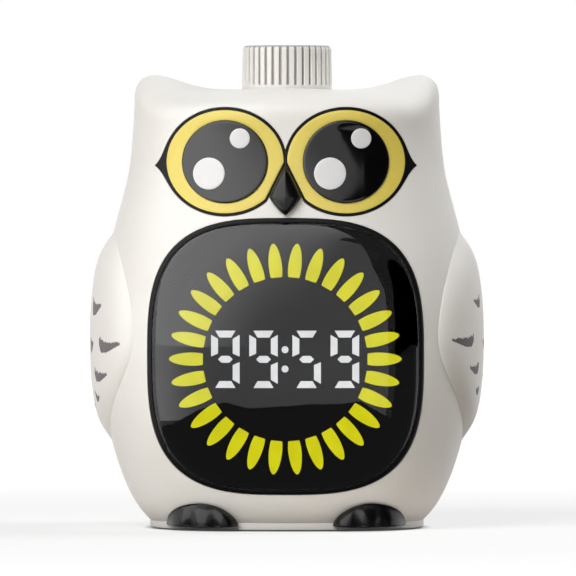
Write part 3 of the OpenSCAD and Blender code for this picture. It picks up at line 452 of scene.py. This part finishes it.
lens_finish, shader, where = new_finish("smoked_lens", Transmission_Weight=1.0, IOR=1.44)
smear = where.noise(35, 4, 0.6)
feed(shader, Base_Color=smear.mix(paint(158, 159, 162), paint(166, 167, 169)), Roughness=0.012 + 0.02 * smear)
lens = laid_plate(bmesh.new(), window_edge(lens_inset), (0, window_z), eased(44), on_front,
                  lambda s, x, z: 0.1 + 1.15 * sqrt(max(0, 1 - s ** 10)), level(-0.2), 224)
finished("smoked_window_lens", lens, "case", "display_lens", lens_finish)


def black_plastic(name, dark, light, rough, grain, gloss=0.5):
    """Black moulding with a soft bloom and a fine grain."""
    made, shader, where = new_finish(name, IOR=1.5, Specular_IOR_Level=gloss)
    bloom = where.noise(220, 3)
    feed(shader, Base_Color=bloom.mix(dark, light), Roughness=rough + 0.1 * bloom,
         Normal=where.noise(2400, 2).bump(0.03, grain))
    return made


matt_black = black_plastic("black_plastic", paint(9, 9, 10), paint(15, 15, 16), 0.34, 0.2, 0.12)
bezel = laid_plate(bmesh.new(), window_edge(0), window_edge(bezel_w), [k / 8 for k in range(9)], on_front,
                   lambda s, x, z: 0.1 + 0.3 * sqrt(max(0, 1 - (1.7 * s - 0.7) ** 2)), level(-1.1), 224)
finished("window_bezel", bezel, "case", "lens_bezel", matt_black)

# Eyes: black liners that fill the pockets and run out to a lash, printed yellow irises, domed glossy
# pupils and two white dots on each pupil. All are separate mouldings, laid on each other and glued.
pupil_w, pupil_h, pupil_gap = 18.8, 18, 0.2
dot_places = ((-3.5, -2.6, 3.5), (3.3, 5.1, 2.2))  # to the right and up from the middle, radius
iris_finish, shader, where = new_finish("iris_yellow", IOR=1.5)
fleck = where.noise(900, 4, 0.7)
feed(shader, Base_Color=fleck.step(0.25, 0.75).mix(paint(224, 203, 86), paint(228, 208, 93)),
     Roughness=0.38 + 0.12 * fleck, Normal=fleck.bump(0.03, 0.2))
gloss_black = black_plastic("pupil_black", paint(8, 8, 9), paint(12, 12, 13), 0.02, 0.0)
dot_finish, shader, where = new_finish("highlight_white", IOR=1.5)
cloud = where.noise(400, 3)
feed(shader, Base_Color=cloud.mix(paint(229, 229, 229), paint(221, 221, 221)),
     Roughness=0.25 + 0.1 * cloud, Normal=where.noise(2400, 2).bump(0.02, 0.2))


def pupil_rise(x, z, side):
    share = sqrt(((x - side * eye_x) / (pupil_w / 2)) ** 2 + ((z - eye_z) / (pupil_h / 2)) ** 2)
    return 0.6 + 0.25 * sqrt(max(0, 1 - min(1, share) ** 60))


dots = bmesh.new()
for side, name in ((-1, "left"), (1, "right")):
    middle = (side * eye_x, eye_z)
    liner = laid_plate(bmesh.new(), eye_edge(side, lambda t: liner_r(t, 0)), middle, eased(10), on_front,
                       level(0.05), level(-0.8), 240)
    finished(f"{name}_lash_liner", liner, "case", f"{name}_eye_liner", matt_black)
    iris = laid_plate(bmesh.new(),
                      eye_edge(side, lambda t: min(ellipse_r(iris_w, iris_h, t),
                                                   eye_limit(t, liner_w / 2, liner_w))),
                      eye_edge(side, lambda t: ellipse_r(pupil_w + pupil_gap, pupil_h + pupil_gap, t)),
                      [k / 10 for k in range(11)], on_front,
                      lambda s, x, z: 0.27 + 0.08 * sqrt(max(0, 1 - (2 * s - 1) ** 6)), level(0.15), 192)
    finished(f"{name}_iris_ring", iris, "case", f"{name}_iris", iris_finish)
    pupil = laid_plate(bmesh.new(), eye_edge(side, lambda t: ellipse_r(pupil_w, pupil_h, t)), middle,
                       eased(24), on_front, lambda s, x, z: pupil_rise(x, z, side), level(0.15), 160)
    finished(f"{name}_pupil_dome", pupil, "case", f"{name}_pupil", gloss_black)
    for right, up, r in dot_places:
        x, z = middle[0] + right, middle[1] + up
        laid_plate(dots, lambda u: (x + r * cos(2 * pi * u), z + r * sin(2 * pi * u)), (x, z), eased(8),
                   on_front, lambda s, x, z: pupil_rise(x, z, side) + 0.1 + 0.12 * sqrt(max(0, 1 - s ** 6)),
                   lambda s, x, z: pupil_rise(x, z, side) + 0.08, 64)
finished("eye_dots", dots, "case", "eye_highlights", dot_finish)

# Beak: a small black kite with a swollen middle that stands out between the eyes. It is one glossy
# plastic moulding, with a peg that is pressed into the face.
beak_up, beak_down = 7, 3.95


def beak_edge(u):
    reach, full = (beak_up, 1.1) if u <= 0.5 else (beak_down, 1.24)
    x, z = on_rim(u, beak_w / 2, reach, full)
    return x, beak_side + z


def beak_rise(share, x, z):
    return 0.5 + 1.5 * sqrt(max(0, 1 - share ** 7)) + 1.25 * (1 - min(1, share) ** 1.5)


beak = laid_plate(bmesh.new(), beak_edge, (0, beak_side), eased(32), on_front, beak_rise, level(0.25), 128)
finished("beak_moulding", beak, "case", "beak",
         black_plastic("beak_black", paint(8, 8, 9), paint(13, 13, 14), 0.16, 0.1, 0.3))

# Wings: leaf-shaped plates of the same ivory on both flanks, pressed on by two pegs each.
# Rows of ragged feather dashes are printed on them in a mauve grey.
wing_y, wing_top, wing_tip, wing_front, wing_back, wing_t = -4, 65.5, 19.5, 20.6, 19, 2.25


def wing_edge(u):
    t = (1 + cos(2 * pi * u)) / 2
    leaf = sqrt(max(0, 1 - (2 * t - 1) ** 2)) if t > 0.5 else max(0, sin(pi * t)) ** 0.9
    return wing_y + leaf * (-wing_front if u < 0.5 else wing_back), wing_tip + t * (wing_top - wing_tip)


def feather_marks(rows):
    """Crescents with a torn upper edge that taper to the front. Each row gives the middle along y, the
    height of the tip, half the length and the depth."""
    def mask(where):
        y, z = where.axis(1) * 1000, where.axis(2) * 1000
        ragged = where.noise(1500, 3, 0.65) - 0.5
        found = None
        for mid_y, tip_z, reach, deep in rows:
            along = (y - mid_y) / reach
            height = z - tip_z
            full = along.step(-1.4, 0.2) * deep
            low = height + full * (1 - along.step(0.65, 1.1)) + 0.6 * ragged
            back = along.step(-0.1, 0.9)
            high = 0.2 + 0.45 * deep * back + (1.5 + 2.5 * back) * ragged - height
            here = low.math("MINIMUM", low, high).step(-0.1, 0.1) * (1 - abs(along)).step(0, 0.05)
            found = here if found is None else found.math("MAXIMUM", found, here)
        return found
    return mask


dashes = {
    -1: ((-13.2, 49.6, 3.4, 2.4), (-19.5, 41.2, 3.6, 2.1), (-9.6, 41.2, 2.0, 2.2), (-15.2, 34.4, 3.4, 1.8),
         (-11.2, 29.4, 1.4, 1.3), (0.4, 50.2, 3.6, 2.1), (2.0, 40.4, 4.3, 2.1), (-2.2, 33.4, 3.1, 1.9),
         (10.5, 45.6, 2.7, 1.8), (9.6, 34.8, 2.6, 1.7), (-3.6, 27.6, 2.4, 1.5)),
    1: ((-12.4, 50.6, 2.6, 1.6), (-19.4, 42.1, 3.7, 1.7), (-4.8, 41.6, 2.4, 2.0), (-14.4, 35.9, 2.8, 1.6),
        (-10.6, 30.9, 1.4, 1.3), (0.6, 50.0, 3.5, 2.1), (4.2, 41.0, 3.7, 2.0), (-1.6, 34.0, 3.2, 1.8),
        (10.4, 46.1, 2.8, 1.8), (9.8, 35.4, 2.7, 1.7), (-2.6, 28.1, 2.3, 1.5))}


def wing_rise(share, y, z):
    # Full to a crisp edge in the middle, and thinner towards both ends
    end = ((2 * z - wing_top - wing_tip) / (wing_top - wing_tip)) ** 2
    return 0.03 + wing_t * (1 - min(1, share) ** (11 - 6.8 * end)) ** (0.6 + 0.4 * end)


for side, name in ((-1, "left"), (1, "right")):
    wing = laid_plate(bmesh.new(), wing_edge, (wing_y, (wing_top + wing_tip) / 2), eased(32),
                      lambda y, z, off: Vector((side * (side_x(y, z) + off), y, z)),
                      wing_rise, level(-0.1), 160)
    finished(f"{name}_wing_leaf", wing, "case", f"{name}_wing",
             ivory_plastic(f"feathered_ivory_{name}", feather_marks(dashes[side])))

# Feet: black pads with three rounded toes that stand out low on the front, just above the table. Each is
# one satin plastic moulding, with a peg that is pressed into the shell.
foot_x, foot_z, foot_w, foot_h, foot_drop, foot_lip, plinth_w = 18.4, 1.35, 16, 4.8, 0.6, 0.7, 60.8
toe_reach, toe_w, toe_round, cleft_deep, instep_back = 6.3, 5.4, 2.8, 1.1, 2.6


def foot_edge(side):
    def edge(u):
        full = 3 if u > 0.5 else 2.2 if u < 0.25 else 1.7
        x, z = on_rim(u, foot_w / 2, foot_h if u <= 0.5 else foot_drop, full)
        return side * (foot_x + x), foot_z + z
    return edge


def plinth_y(x):
    return -plinth_w / 2 * body_d / body_w * bow(2 * x / plinth_w)


def on_toe(x, z, off):
    return Vector((x, min(plinth_y(x), front_y(x, max(z, plinth_h))) - off, z))


def foot_rise(share, x, z):
    # Three rounded toes below an instep that slopes back, all in front of the upright plinth
    across = abs(x) - foot_x
    climb = min(1, max(0, (z - foot_z) / foot_h))
    cleft = cleft_deep * abs(sin(pi * across / toe_w)) ** 4 * (1 - climb)
    instep = instep_back * (1 - (1 - climb ** 2.4) ** 0.8)
    front = toe_reach - toe_round * (2 * across / foot_w) ** 2 - instep - cleft
    overhang = plinth_y(x) - on_toe(x, z, 0).y
    return foot_lip + max(0, front - overhang - foot_lip) * sqrt(1 - min(1, share) ** 8)


foot_black = black_plastic("foot_black", paint(6, 6, 7), paint(11, 11, 12), 0.22, 0.1, 0.3)
for side, name in ((-1, "left"), (1, "right")):
    foot = laid_plate(bmesh.new(), foot_edge(side), (side * foot_x, foot_z), eased(28), on_toe,
                      foot_rise, level(0.25), 192)
    finished(f"{name}_toes", foot, "case", f"{name}_foot", foot_black)


# Display board: a white moulded light box with a cell for each petal and digit, on a green board with
# its lamps and controller. It is fixed to four bosses behind the window by steel screws, of the same
# kind as the others in the case.
def dress(finish, *names):
    """Gives carried-over nodes their finish."""
    for name in names:
        nodes[name].data.materials.clear()
        nodes[name].data.materials.append(finish)


def stock(name, first, second, scale, rough, stretch=(1, 1, 1), dent=0.03, **constants):
    """Common stock: two tones of a drawn-out noise that also roughens and dents it."""
    made, shader, where = new_finish(name, **constants)
    drawn = where.node("ShaderNodeMapping", {}, {"Vector": where, "Scale": stretch})
    noise = drawn.noise(scale, 4, 0.6)
    feed(shader, Base_Color=noise.step(0.3, 0.7).mix(first, second), Roughness=rough + 0.15 * (noise - 0.5),
         Normal=noise.bump(dent, 0.4))
    return made


dress(stock("reflector_white", paint(240, 240, 238), paint(231, 231, 228), 300, 0.5), "light_reflector")
board_finish, shader, where = new_finish("board_green", IOR=1.5)
cells = where.node("ShaderNodeTexVoronoi", {"feature": "DISTANCE_TO_EDGE", "distance": "EUCLIDEAN"},
                   {"Vector": where, "Scale": 260})
tracks = where.node("ShaderNodeTexVoronoi", {"distance": "MANHATTAN"}, {"Vector": where, "Scale": 190}, 0)
copper = cells.step(0.03, 0.06)
feed(shader, Base_Color=copper.mix(paint(52, 122, 72), paint(24, 84, 46)),
     Roughness=0.3 + 0.15 * tracks, Normal=(1 - copper).bump(0.04, 0.5))
dress(board_finish, "display_board", "charge_board")
dress(stock("led_pale", paint(238, 226, 150), paint(226, 206, 104), 1500, 0.35), "display_leds")
dress(stock("chip_black", paint(26, 26, 27), paint(36, 36, 37), 2200, 0.55), "controller_chip", "switch_body")
steel = stock("screw_steel", paint(176, 177, 180), paint(150, 151, 155), 1400, 0.34, (1, 1, 6), Metallic=1.0)
dress(steel, "display_screws", "charge_board_screws", "seam_screws", "base_screws")

# Battery: a flat pouch cell in crinkled foil, held behind the display board by a strip of grey foam tape
# with glue on both faces.
dress(stock("pouch_foil", paint(196, 198, 202), paint(170, 172, 177), 120, 0.36, dent=0.25, Metallic=1.0),
      "battery_cell")
dress(stock("foam_grey", paint(92, 93, 95), paint(66, 67, 69), 1800, 0.85, dent=0.1), "battery_tape")


# Leads: flat cables in soft plastic jackets, soldered at both ends. A red one comes from the battery, a
# black one from the speaker and grey ones from the encoder and the charge board.
def lead_finish(name, jacket, groove):
    """Flat lead with a groove between its cores."""
    made, shader, where = new_finish(name, IOR=1.5)
    cores = where.node("ShaderNodeTexWave", {"bands_direction": "X"}, {"Vector": where, "Scale": 250})
    feed(shader, Base_Color=cores.step(0.05, 0.3).mix(groove, jacket),
         Roughness=0.4 + 0.1 * where.noise(900, 2), Normal=cores.bump(0.08, 0.6))
    return made


dress(lead_finish("lead_red", paint(168, 40, 34), paint(120, 24, 20)), "battery_lead")
dress(lead_finish("lead_black", paint(44, 44, 46), paint(22, 22, 24)), "speaker_lead")
dress(lead_finish("cable_grey", paint(158, 160, 164), paint(112, 114, 118)),
      "encoder_ribbon", "charge_ribbon")

# Encoder: a pressed steel housing whose threaded bushing passes the well floor, held by a washer and a
# nut, with a nylon rotor, a shaft with a flat and a snap dome under the shaft.
dress(stock("encoder_steel", paint(188, 189, 192), paint(164, 165, 169), 900, 0.32, (1, 1, 5), Metallic=1.0),
      "encoder_housing", "encoder_washer", "encoder_nut", "click_dome")
dress(stock("rotor_nylon", paint(236, 235, 230), paint(224, 222, 215), 500, 0.45), "encoder_rotor")
dress(stock("shaft_steel", paint(120, 121, 124), paint(96, 97, 100), 1200, 0.36, (1, 1, 8), Metallic=1.0),
      "encoder_shaft")

# Knob: a turned-looking ivory cap with 36 ribs over a plain collar, moulded hollow and pressed on the
# shaft. It turns without end and is pressed to start and stop.
knob_r, knob_z, knob_foot, hollow_r, hollow_z, bore_r, bore_z = 10, 107, 96, 7, 99, 3.05, 105.3
rib_count, groove_foot, groove_deep, groove_half, groove_flank, groove_turn = 36, 98.1, 0.62, 0.16, 0.24, 2
knob_levels = (105, 103.5, 102, 100.5, 99.4, 98.6, 98.35, 98.2, 98.1, 98, 97)
knob_rows = [(0, knob_z), (3, knob_z), (6, knob_z), (8.2, knob_z)]
knob_rows += [(8.85 + sin(pi / 2 * k / 10), knob_z - 1 + cos(pi / 2 * k / 10)) for k in range(11)]
knob_rows += [(9.85 + 0.15 * (106 - z) / 10, z) for z in knob_levels]
knob_rows += [(9.99, 96.25), (9.75, knob_foot), (hollow_r, knob_foot), (hollow_r, hollow_z),
              (bore_r, hollow_z), (bore_r, bore_z), (0, bore_z)]


def knob_point(u, row):
    """Point of the knob's profile, sunk where a groove runs."""
    pitch = 2 * pi * knob_r / rib_count
    off = abs((u * rib_count - rib_count * groove_turn / 360 + 0.5) % 1 - 0.5) * pitch
    rib = min(1, max(0, (off - groove_half) / groove_flank))
    deep = groove_deep * (1 - rib * rib * (3 - 2 * rib)) * min(1, max(0, (row[1] - groove_foot) / 0.25))
    crown = 0.05 * (off / pitch * 2) ** 2 if row[1] > groove_foot else 0
    r = min(row[0], knob_r - deep - 0.05 + crown) if row[0] > 8 and row[1] < knob_z else row[0]
    return Vector((r * cos(2 * pi * u), r * sin(2 * pi * u), row[1]))


def painted_groove_shade(where):
    """Painted shade: mauve grey laid in the bottom of the grooves, where they fall in shadow."""
    flat = where.node("ShaderNodeVectorMath", {"operation": "MULTIPLY"}, {0: where, 1: (1, 1, 0)})
    radius = where.node("ShaderNodeVectorMath", {"operation": "LENGTH"}, {0: flat}, 1) * 1000
    return 0.66 * radius.step(8.9, 9.1) * (1 - radius.step(9.4, 9.8)) * (where.axis(2) * 1000).step(98, 98.3)


# The bottoms of the knob's grooves get painted shade.
finished("ribbed_knob", wrapped(bmesh.new(), rib_count * 18, knob_rows, knob_point), "knob", "knob",
         ivory_plastic("knob_ivory", painted_groove_shade))

# Rear shell: the back of the body in the same ivory, held to the front by four screws in counterbores.
# It has a round grille of drilled holes for the speaker, and slots for the charging socket and the switch.
past_y, counterbore_r, speaker_z, hole_r, hole_pitch = 60, 2.25, 46, 0.9, 4.2
usb_x, usb_z, usb_r, usb_half = 7, 15.3, 2.0, 2.85
switch_x, switch_z, switch_half, switch_rise = -8.5, 15.45, 3.5, 1.3
cavity = body_solid(plinth_h - 0.1, wall, 112, 40, 16)
bosses = bmesh.new()
counterbores = bmesh.new()
for side in (-1, 1):
    for z in seam_levels:
        x = side * seam_x(z)
        rod(bosses, boss_r, (x, split_y - 1, z), (x, past_y, z))
        rod(counterbores, counterbore_r, (x, split_y + 2, z), (x, past_y, z))
grille = rod(bmesh.new(), hole_r, (0, split_y, speaker_z), (0, past_y, speaker_z), 28)
for ring in (1, 2):
    for k in range(6 * ring):
        turn = pi / 3 * k / ring
        x, z = hole_pitch * ring * cos(turn), speaker_z + hole_pitch * ring * sin(turn)
        rod(grille, hole_r, (x, split_y, z), (x, past_y, z), 28)
usb_slot = rod(bmesh.new(), usb_r, (usb_x, split_y, usb_z), (usb_x, past_y, usb_z), 64)
for vert in usb_slot.verts:
    vert.co.x += usb_half if vert.co.x > usb_x else -usb_half
switch_slot = block((switch_x - switch_half, split_y, switch_z - switch_rise),
                    (switch_x + switch_half, past_y, switch_z + switch_rise))
bmesh.ops.bevel(switch_slot,
                geom=[e for e in switch_slot.edges if abs(e.verts[0].co.y - e.verts[1].co.y) > 1],
                offset=0.4, affect="EDGES", segments=4, profile=0.5, material=-1)
shell = carved(body_solid(plinth_h, 0, 224, 84, 40), carved(cavity, bosses),
               block((-60, -60, -5), (60, split_y + seam, 120)), counterbores, grille, usb_slot, switch_slot,
               rod(bmesh.new(), well_r, (0, 0, well_floor), (0, 0, 130), 128))
finished("rear_shell_moulding", shell, "case", "rear_shell", ivory)

# Speaker: a small black driver behind the grille, with a woven dust cover. It is glued into a ring of the
# rear shell.
speaker_finish, shader, where = new_finish("speaker_black", IOR=1.45)
weave = where.node("ShaderNodeTexVoronoi", {}, {"Vector": where, "Scale": 1600})
feed(shader, Base_Color=weave.step(0.2, 0.6).mix(paint(40, 40, 42), paint(18, 18, 19)),
     Roughness=0.7 + 0.1 * weave, Normal=weave.bump(0.1, 0.6))
dress(speaker_finish, "speaker")

# Charge board parts: a drawn steel charging socket with its black contact tongue, and a slide switch
# whose ribbed black lever stands out of the rear shell and sets the volume.
dress(stock("socket_steel", paint(196, 197, 200), paint(172, 173, 177), 1100, 0.26, (1, 6, 1), Metallic=1.0),
      "usb_socket")
tongue_finish, shader, where = new_finish("tongue_black", IOR=1.5)
pads = where.node("ShaderNodeTexWave", {"bands_direction": "X"}, {"Vector": where, "Scale": 620})
pads = pads.step(0.55, 0.7)
feed(shader, Base_Color=pads.mix(paint(22, 22, 23), paint(206, 170, 92)), Metallic=pads,
     Roughness=0.5 - 0.2 * pads, Normal=pads.bump(0.04, 0.5))
dress(tongue_finish, "usb_tongue")
lever_finish, shader, where = new_finish("lever_black", IOR=1.5)
ribs = where.node("ShaderNodeTexWave", {"bands_direction": "X"}, {"Vector": where, "Scale": 450})
feed(shader, Base_Color=ribs.mix(paint(22, 22, 23), paint(38, 38, 40)), Roughness=0.4 + 0.1 * ribs,
     Normal=ribs.bump(0.15, 0.8))
dress(lever_finish, "volume_slider")

# Base plate: an ivory plinth that closes the body from below, with a spigot inside the shells, four
# screws in counterbores, two standoffs for the charge board and a recess for the non-slip pad.
pad_r, pad_t, pad_proud, spigot_w, spigot_d, spigot_top = 16, 1.2, 0.2, 27.6, 22.84, 4.2
base_screw_x, base_screw_y = 8, 19.9
standoff_x, standoff_y, standoff_r, standoff_top = 10.5, 13.6, 2.6, 11.95
plinth_rows = ((0.35, pad_proud), (0.1, pad_proud + 0.1), (0, pad_proud + 0.35), (0, plinth_h - 0.1),
               (0.1, plinth_h))
base_rows = [(0, 0, pad_proud)]
for inset, z in plinth_rows:
    half = plinth_w / 2 - inset
    base_rows.append((half, half * body_d / body_w, z))
base_rows += [(spigot_w, spigot_d, plinth_h), (spigot_w, spigot_d, spigot_top), (0, 0, spigot_top)]


def base_point(u, row):
    return Vector((*on_rim(u, row[0], row[1], body_power), row[2]))


plinth = wrapped(bmesh.new(), 224, base_rows, base_point)
recess = rod(bmesh.new(), pad_r + 0.1, (0, 0, -1), (0, 0, pad_t + 0.05), 128)
screw_wells = bmesh.new()
for x in (-base_screw_x, base_screw_x):
    for y in (-base_screw_y, base_screw_y):
        rod(screw_wells, counterbore_r, (x, y, -1), (x, y, 2))
plinth = carved(plinth, recess, screw_wells)
for x in (-standoff_x, standoff_x):
    rod(plinth, standoff_r, (x, standoff_y, 4), (x, standoff_y, standoff_top))
finished("plinth_moulding", plinth, "case", "base_plate", ivory)

# Non-slip pad: a disc of dark foam rubber with fine rings, glued into the recess under the plinth. It
# stands a little proud, so that the timer rests on it.
pad_finish, shader, where = new_finish("pad_rubber", IOR=1.45)
rings = where.node("ShaderNodeTexWave", {"wave_type": "RINGS", "rings_direction": "Z"},
                   {"Vector": where, "Scale": 180})
pores = where.noise(2200, 3)
feed(shader, Base_Color=pores.mix(paint(58, 58, 60), paint(40, 40, 42)), Roughness=0.75 + 0.15 * pores,
     Normal=(rings + 0.4 * pores).bump(0.1, 0.6))
dress(pad_finish, "non_slip_pad")

# Studio: a white surround and a white floor that keeps a soft shadow, a broad key panel at the upper left
# and a smaller rim panel behind the right side. Black, grey and bright cards that only mirrors see draw
# the reflections in the window and the pupils.
distance, turn = 2.0, radians(0.7)
camera = bpy.data.objects.new("camera", bpy.data.cameras.new("camera"))
scene.collection.objects.link(camera)
camera.data.lens, camera.data.sensor_width, camera.data.clip_end = 562, 36, 20
camera.location = (distance * sin(turn), -distance * cos(turn), 0.08)
aim = Vector((0.00022, 0, 0.08 - distance * tan(radians(0.77))))
camera.rotation_euler = (aim - camera.location).to_track_quat("-Z", "Y").to_euler()
scene.camera = camera
scene.view_settings.view_transform = "Standard"


def lamp(name, place, target, width, height, power, tone):
    data = bpy.data.lights.new(name, "AREA")
    data.shape, data.size, data.size_y, data.energy, data.color = "RECTANGLE", width, height, power, tone
    made = bpy.data.objects.new(name, data)
    scene.collection.objects.link(made)
    made.location = place
    made.rotation_euler = (Vector(target) - Vector(place)).to_track_quat("-Z", "Y").to_euler()
    made.visible_glossy = made.visible_transmission = False


lamp("key_panel", (-0.53, -0.92, 0.82), (0, 0, 0.05), 0.8, 0.8, 11.8, (1, 1, 1))
lamp("rim_panel", (0.62, 0.17, 0.6), (0, 0, 0.05), 0.4, 0.6, 3.8, (1, 1, 1))


def seen_white(where):
    """1 for the rays that see the surround itself: straight, mirrored or through glass."""
    straight, mirrored, through = (where.node("ShaderNodeLightPath", {}, {}, f"Is {kind} Ray")
                                   for kind in ("Camera", "Glossy", "Transmission"))
    return where.math("MAXIMUM", where.math("MAXIMUM", straight, mirrored), through)


def staged(name, bm, finish):
    """Piece of the studio, which isn't part of the timer."""
    mesh = bpy.data.meshes.new(name)
    bm.to_mesh(mesh)
    bm.free()
    mesh.materials.append(finish)
    made = bpy.data.objects.new(name, mesh)
    scene.collection.objects.link(made)
    return made


world = bpy.data.worlds.new("white_surround")
scene.world = world
world.use_nodes = True
surround = world.node_tree.nodes["Background"]
surround.inputs["Color"].default_value = (1, 1, 1, 1)
feed(surround, Strength=0.22 + 0.78 * seen_white(Shade(surround.outputs["Background"])))

floor_r, floor_drop, shade_w, shade_d = 4, 0.00005, 0.0304, 0.0256
painted_shade_bounce, warm_bounce = (0.14, 0.11, 0.08, 1), (0.95, 0.9, 0.84, 1)
floor_finish, shader, where = new_finish("floor_white")
tree = shader.id_data
tree.nodes.remove(shader)
seen = seen_white(where)
beside = ((abs(where.axis(0)) / shade_w) ** body_power
          + (abs(where.axis(1)) / shade_d) ** body_power) ** (1 / body_power)
away = where.node("ShaderNodeVectorMath", {"operation": "LENGTH"}, {0: where}, 1).step(0.1, 0.35)
# Painted shade: bounce light sees a dark floor next to the plinth and to the right of the timer, which
# darkens its lower body and right flank.
bounce_with_painted_shade = beside.step(1, 1.3).mix(painted_shade_bounce, where.axis(0).step(0.028, 0.056).mix(warm_bounce, painted_shade_bounce))
paper = where.node("ShaderNodeBsdfDiffuse", {}, {"Color": seen.mix(bounce_with_painted_shade, (0.9, 0.9, 0.9, 1))})
glow = where.node("ShaderNodeEmission", {}, {"Color": (1, 1, 1, 1), "Strength": 1.05})
lit = seen * (0.05 + 0.55 * beside.step(1, 1.06) + 0.4 * away)
above = where.node("ShaderNodeMixShader", {}, {0: lit, 1: paper, 2: glow})
from_below = where.node("ShaderNodeNewGeometry", {}, {}, "Backfacing")
clear = where.node("ShaderNodeBsdfTransparent", {}, {})
shown = where.node("ShaderNodeMixShader", {}, {0: from_below, 1: above, 2: clear})
feed(tree.nodes["Material Output"], Surface=shown)
bm = bmesh.new()
bmesh.ops.create_circle(bm, cap_ends=True, segments=96, radius=floor_r,
                        matrix=Matrix.Translation((0, 0, -floor_drop)))
staged("floor", bm, floor_finish)


def card(name, corners, finish):
    """Flat card that only mirrors see."""
    bm = bmesh.new()
    bm.faces.new([bm.verts.new(corner) for corner in corners])
    made = staged(name, bm, finish)
    made.visible_camera = made.visible_diffuse = made.visible_shadow = False


def card_finish(name, strength):
    """Black sheet without gloss that glows by itself."""
    return new_finish(name, Base_Color=(0, 0, 0, 1), Specular_IOR_Level=0, Emission_Strength=strength)


def facing(y, points):
    return [(x, y, z) for x, z in points]


def on_floor(points):
    return [(x, y, 0.0005) for x, y in points]


black_card = card_finish("card_black", 0)[0]
card("right_card", facing(-0.4, ((0.15, 0.92), (0.2, 0.48), (0.27, 0.36), (0.29, 0.27), (0.31, 0.21),
                                 (0.375, 0.15), (0.39, 0.001), (1.3, 0.001), (1.3, 3), (0.15, 3))),
     black_card)
card("eye_card", facing(-0.07, ((0.0255, 0.0885), (0.0258, 0.0894), (0.029, 0.0929), (0.0329, 0.0942),
                                (0.037, 0.0957), (0.0413, 0.0971), (0.0458, 0.0982), (0.0505, 0.0985),
                                (0.052, 0.118), (0.13, 0.118), (0.13, 0.1), (0.06, 0.0935),
                                (0.05, 0.093), (0.04, 0.0902))), black_card)
card("side_card", ((1.3, -0.4, 0.001), (1.3, 0.4, 0.001), (1.3, 0.4, 3), (1.3, -0.4, 3)), black_card)
left_end = ((-0.1, -0.03), (-0.094, -0.046), (-0.078, -0.072), (-0.07, -0.107), (-0.05, -0.137))
card("low_card", on_floor(((-0.1, -0.02), *left_end, (-0.023, -0.127), (-0.001, -0.134), (0.013, -0.139),
                           (0.035, -0.135), (0.065, -0.133), (0.076, -0.084), (0.107, -0.113),
                           (0.245, -0.251), (0.39, -0.4), (1.3, -0.4), (1.3, -0.02))),
     card_finish("card_grey", 0.15)[0])
pale_card, shader, where = card_finish("card_pale", 1.0)
outward = (where.axis(0) / where.axis(1)).step(0.3, 1.8)
feed(shader, Emission_Color=outward.mix((1, 1, 1, 1), (2.4, 2.4, 2.4, 1)))
card("left_card", on_floor((*left_end, (-0.3, -1.2), (-2, -1.2), (-2, -0.03))), pale_card)
toward = Vector((-0.583, -0.694, 0.423))
across = toward.cross((0, 0, 1)).normalized()
upward = across.cross(toward)
middle = toward + Vector((0, 0, 0.05))
slope = across * 0.83 + upward * 0.55
soft_card, shader, where = card_finish("card_soft", 1.0)
along = where.node("ShaderNodeVectorMath", {"operation": "DOT_PRODUCT"}, {0: where, 1: slope}, 1)
along = along - slope.dot(middle)
feed(shader, Emission_Color=along.step(-1, -0.09).mix((1, 1, 1, 1), (3.2, 3.2, 3.2, 1)))
card("soft_card", [middle + across * right + upward * up
                   for right, up in ((-2.2, -0.8), (1.2, -0.8), (1.2, 1.2), (-2.2, 1.2))], soft_card)
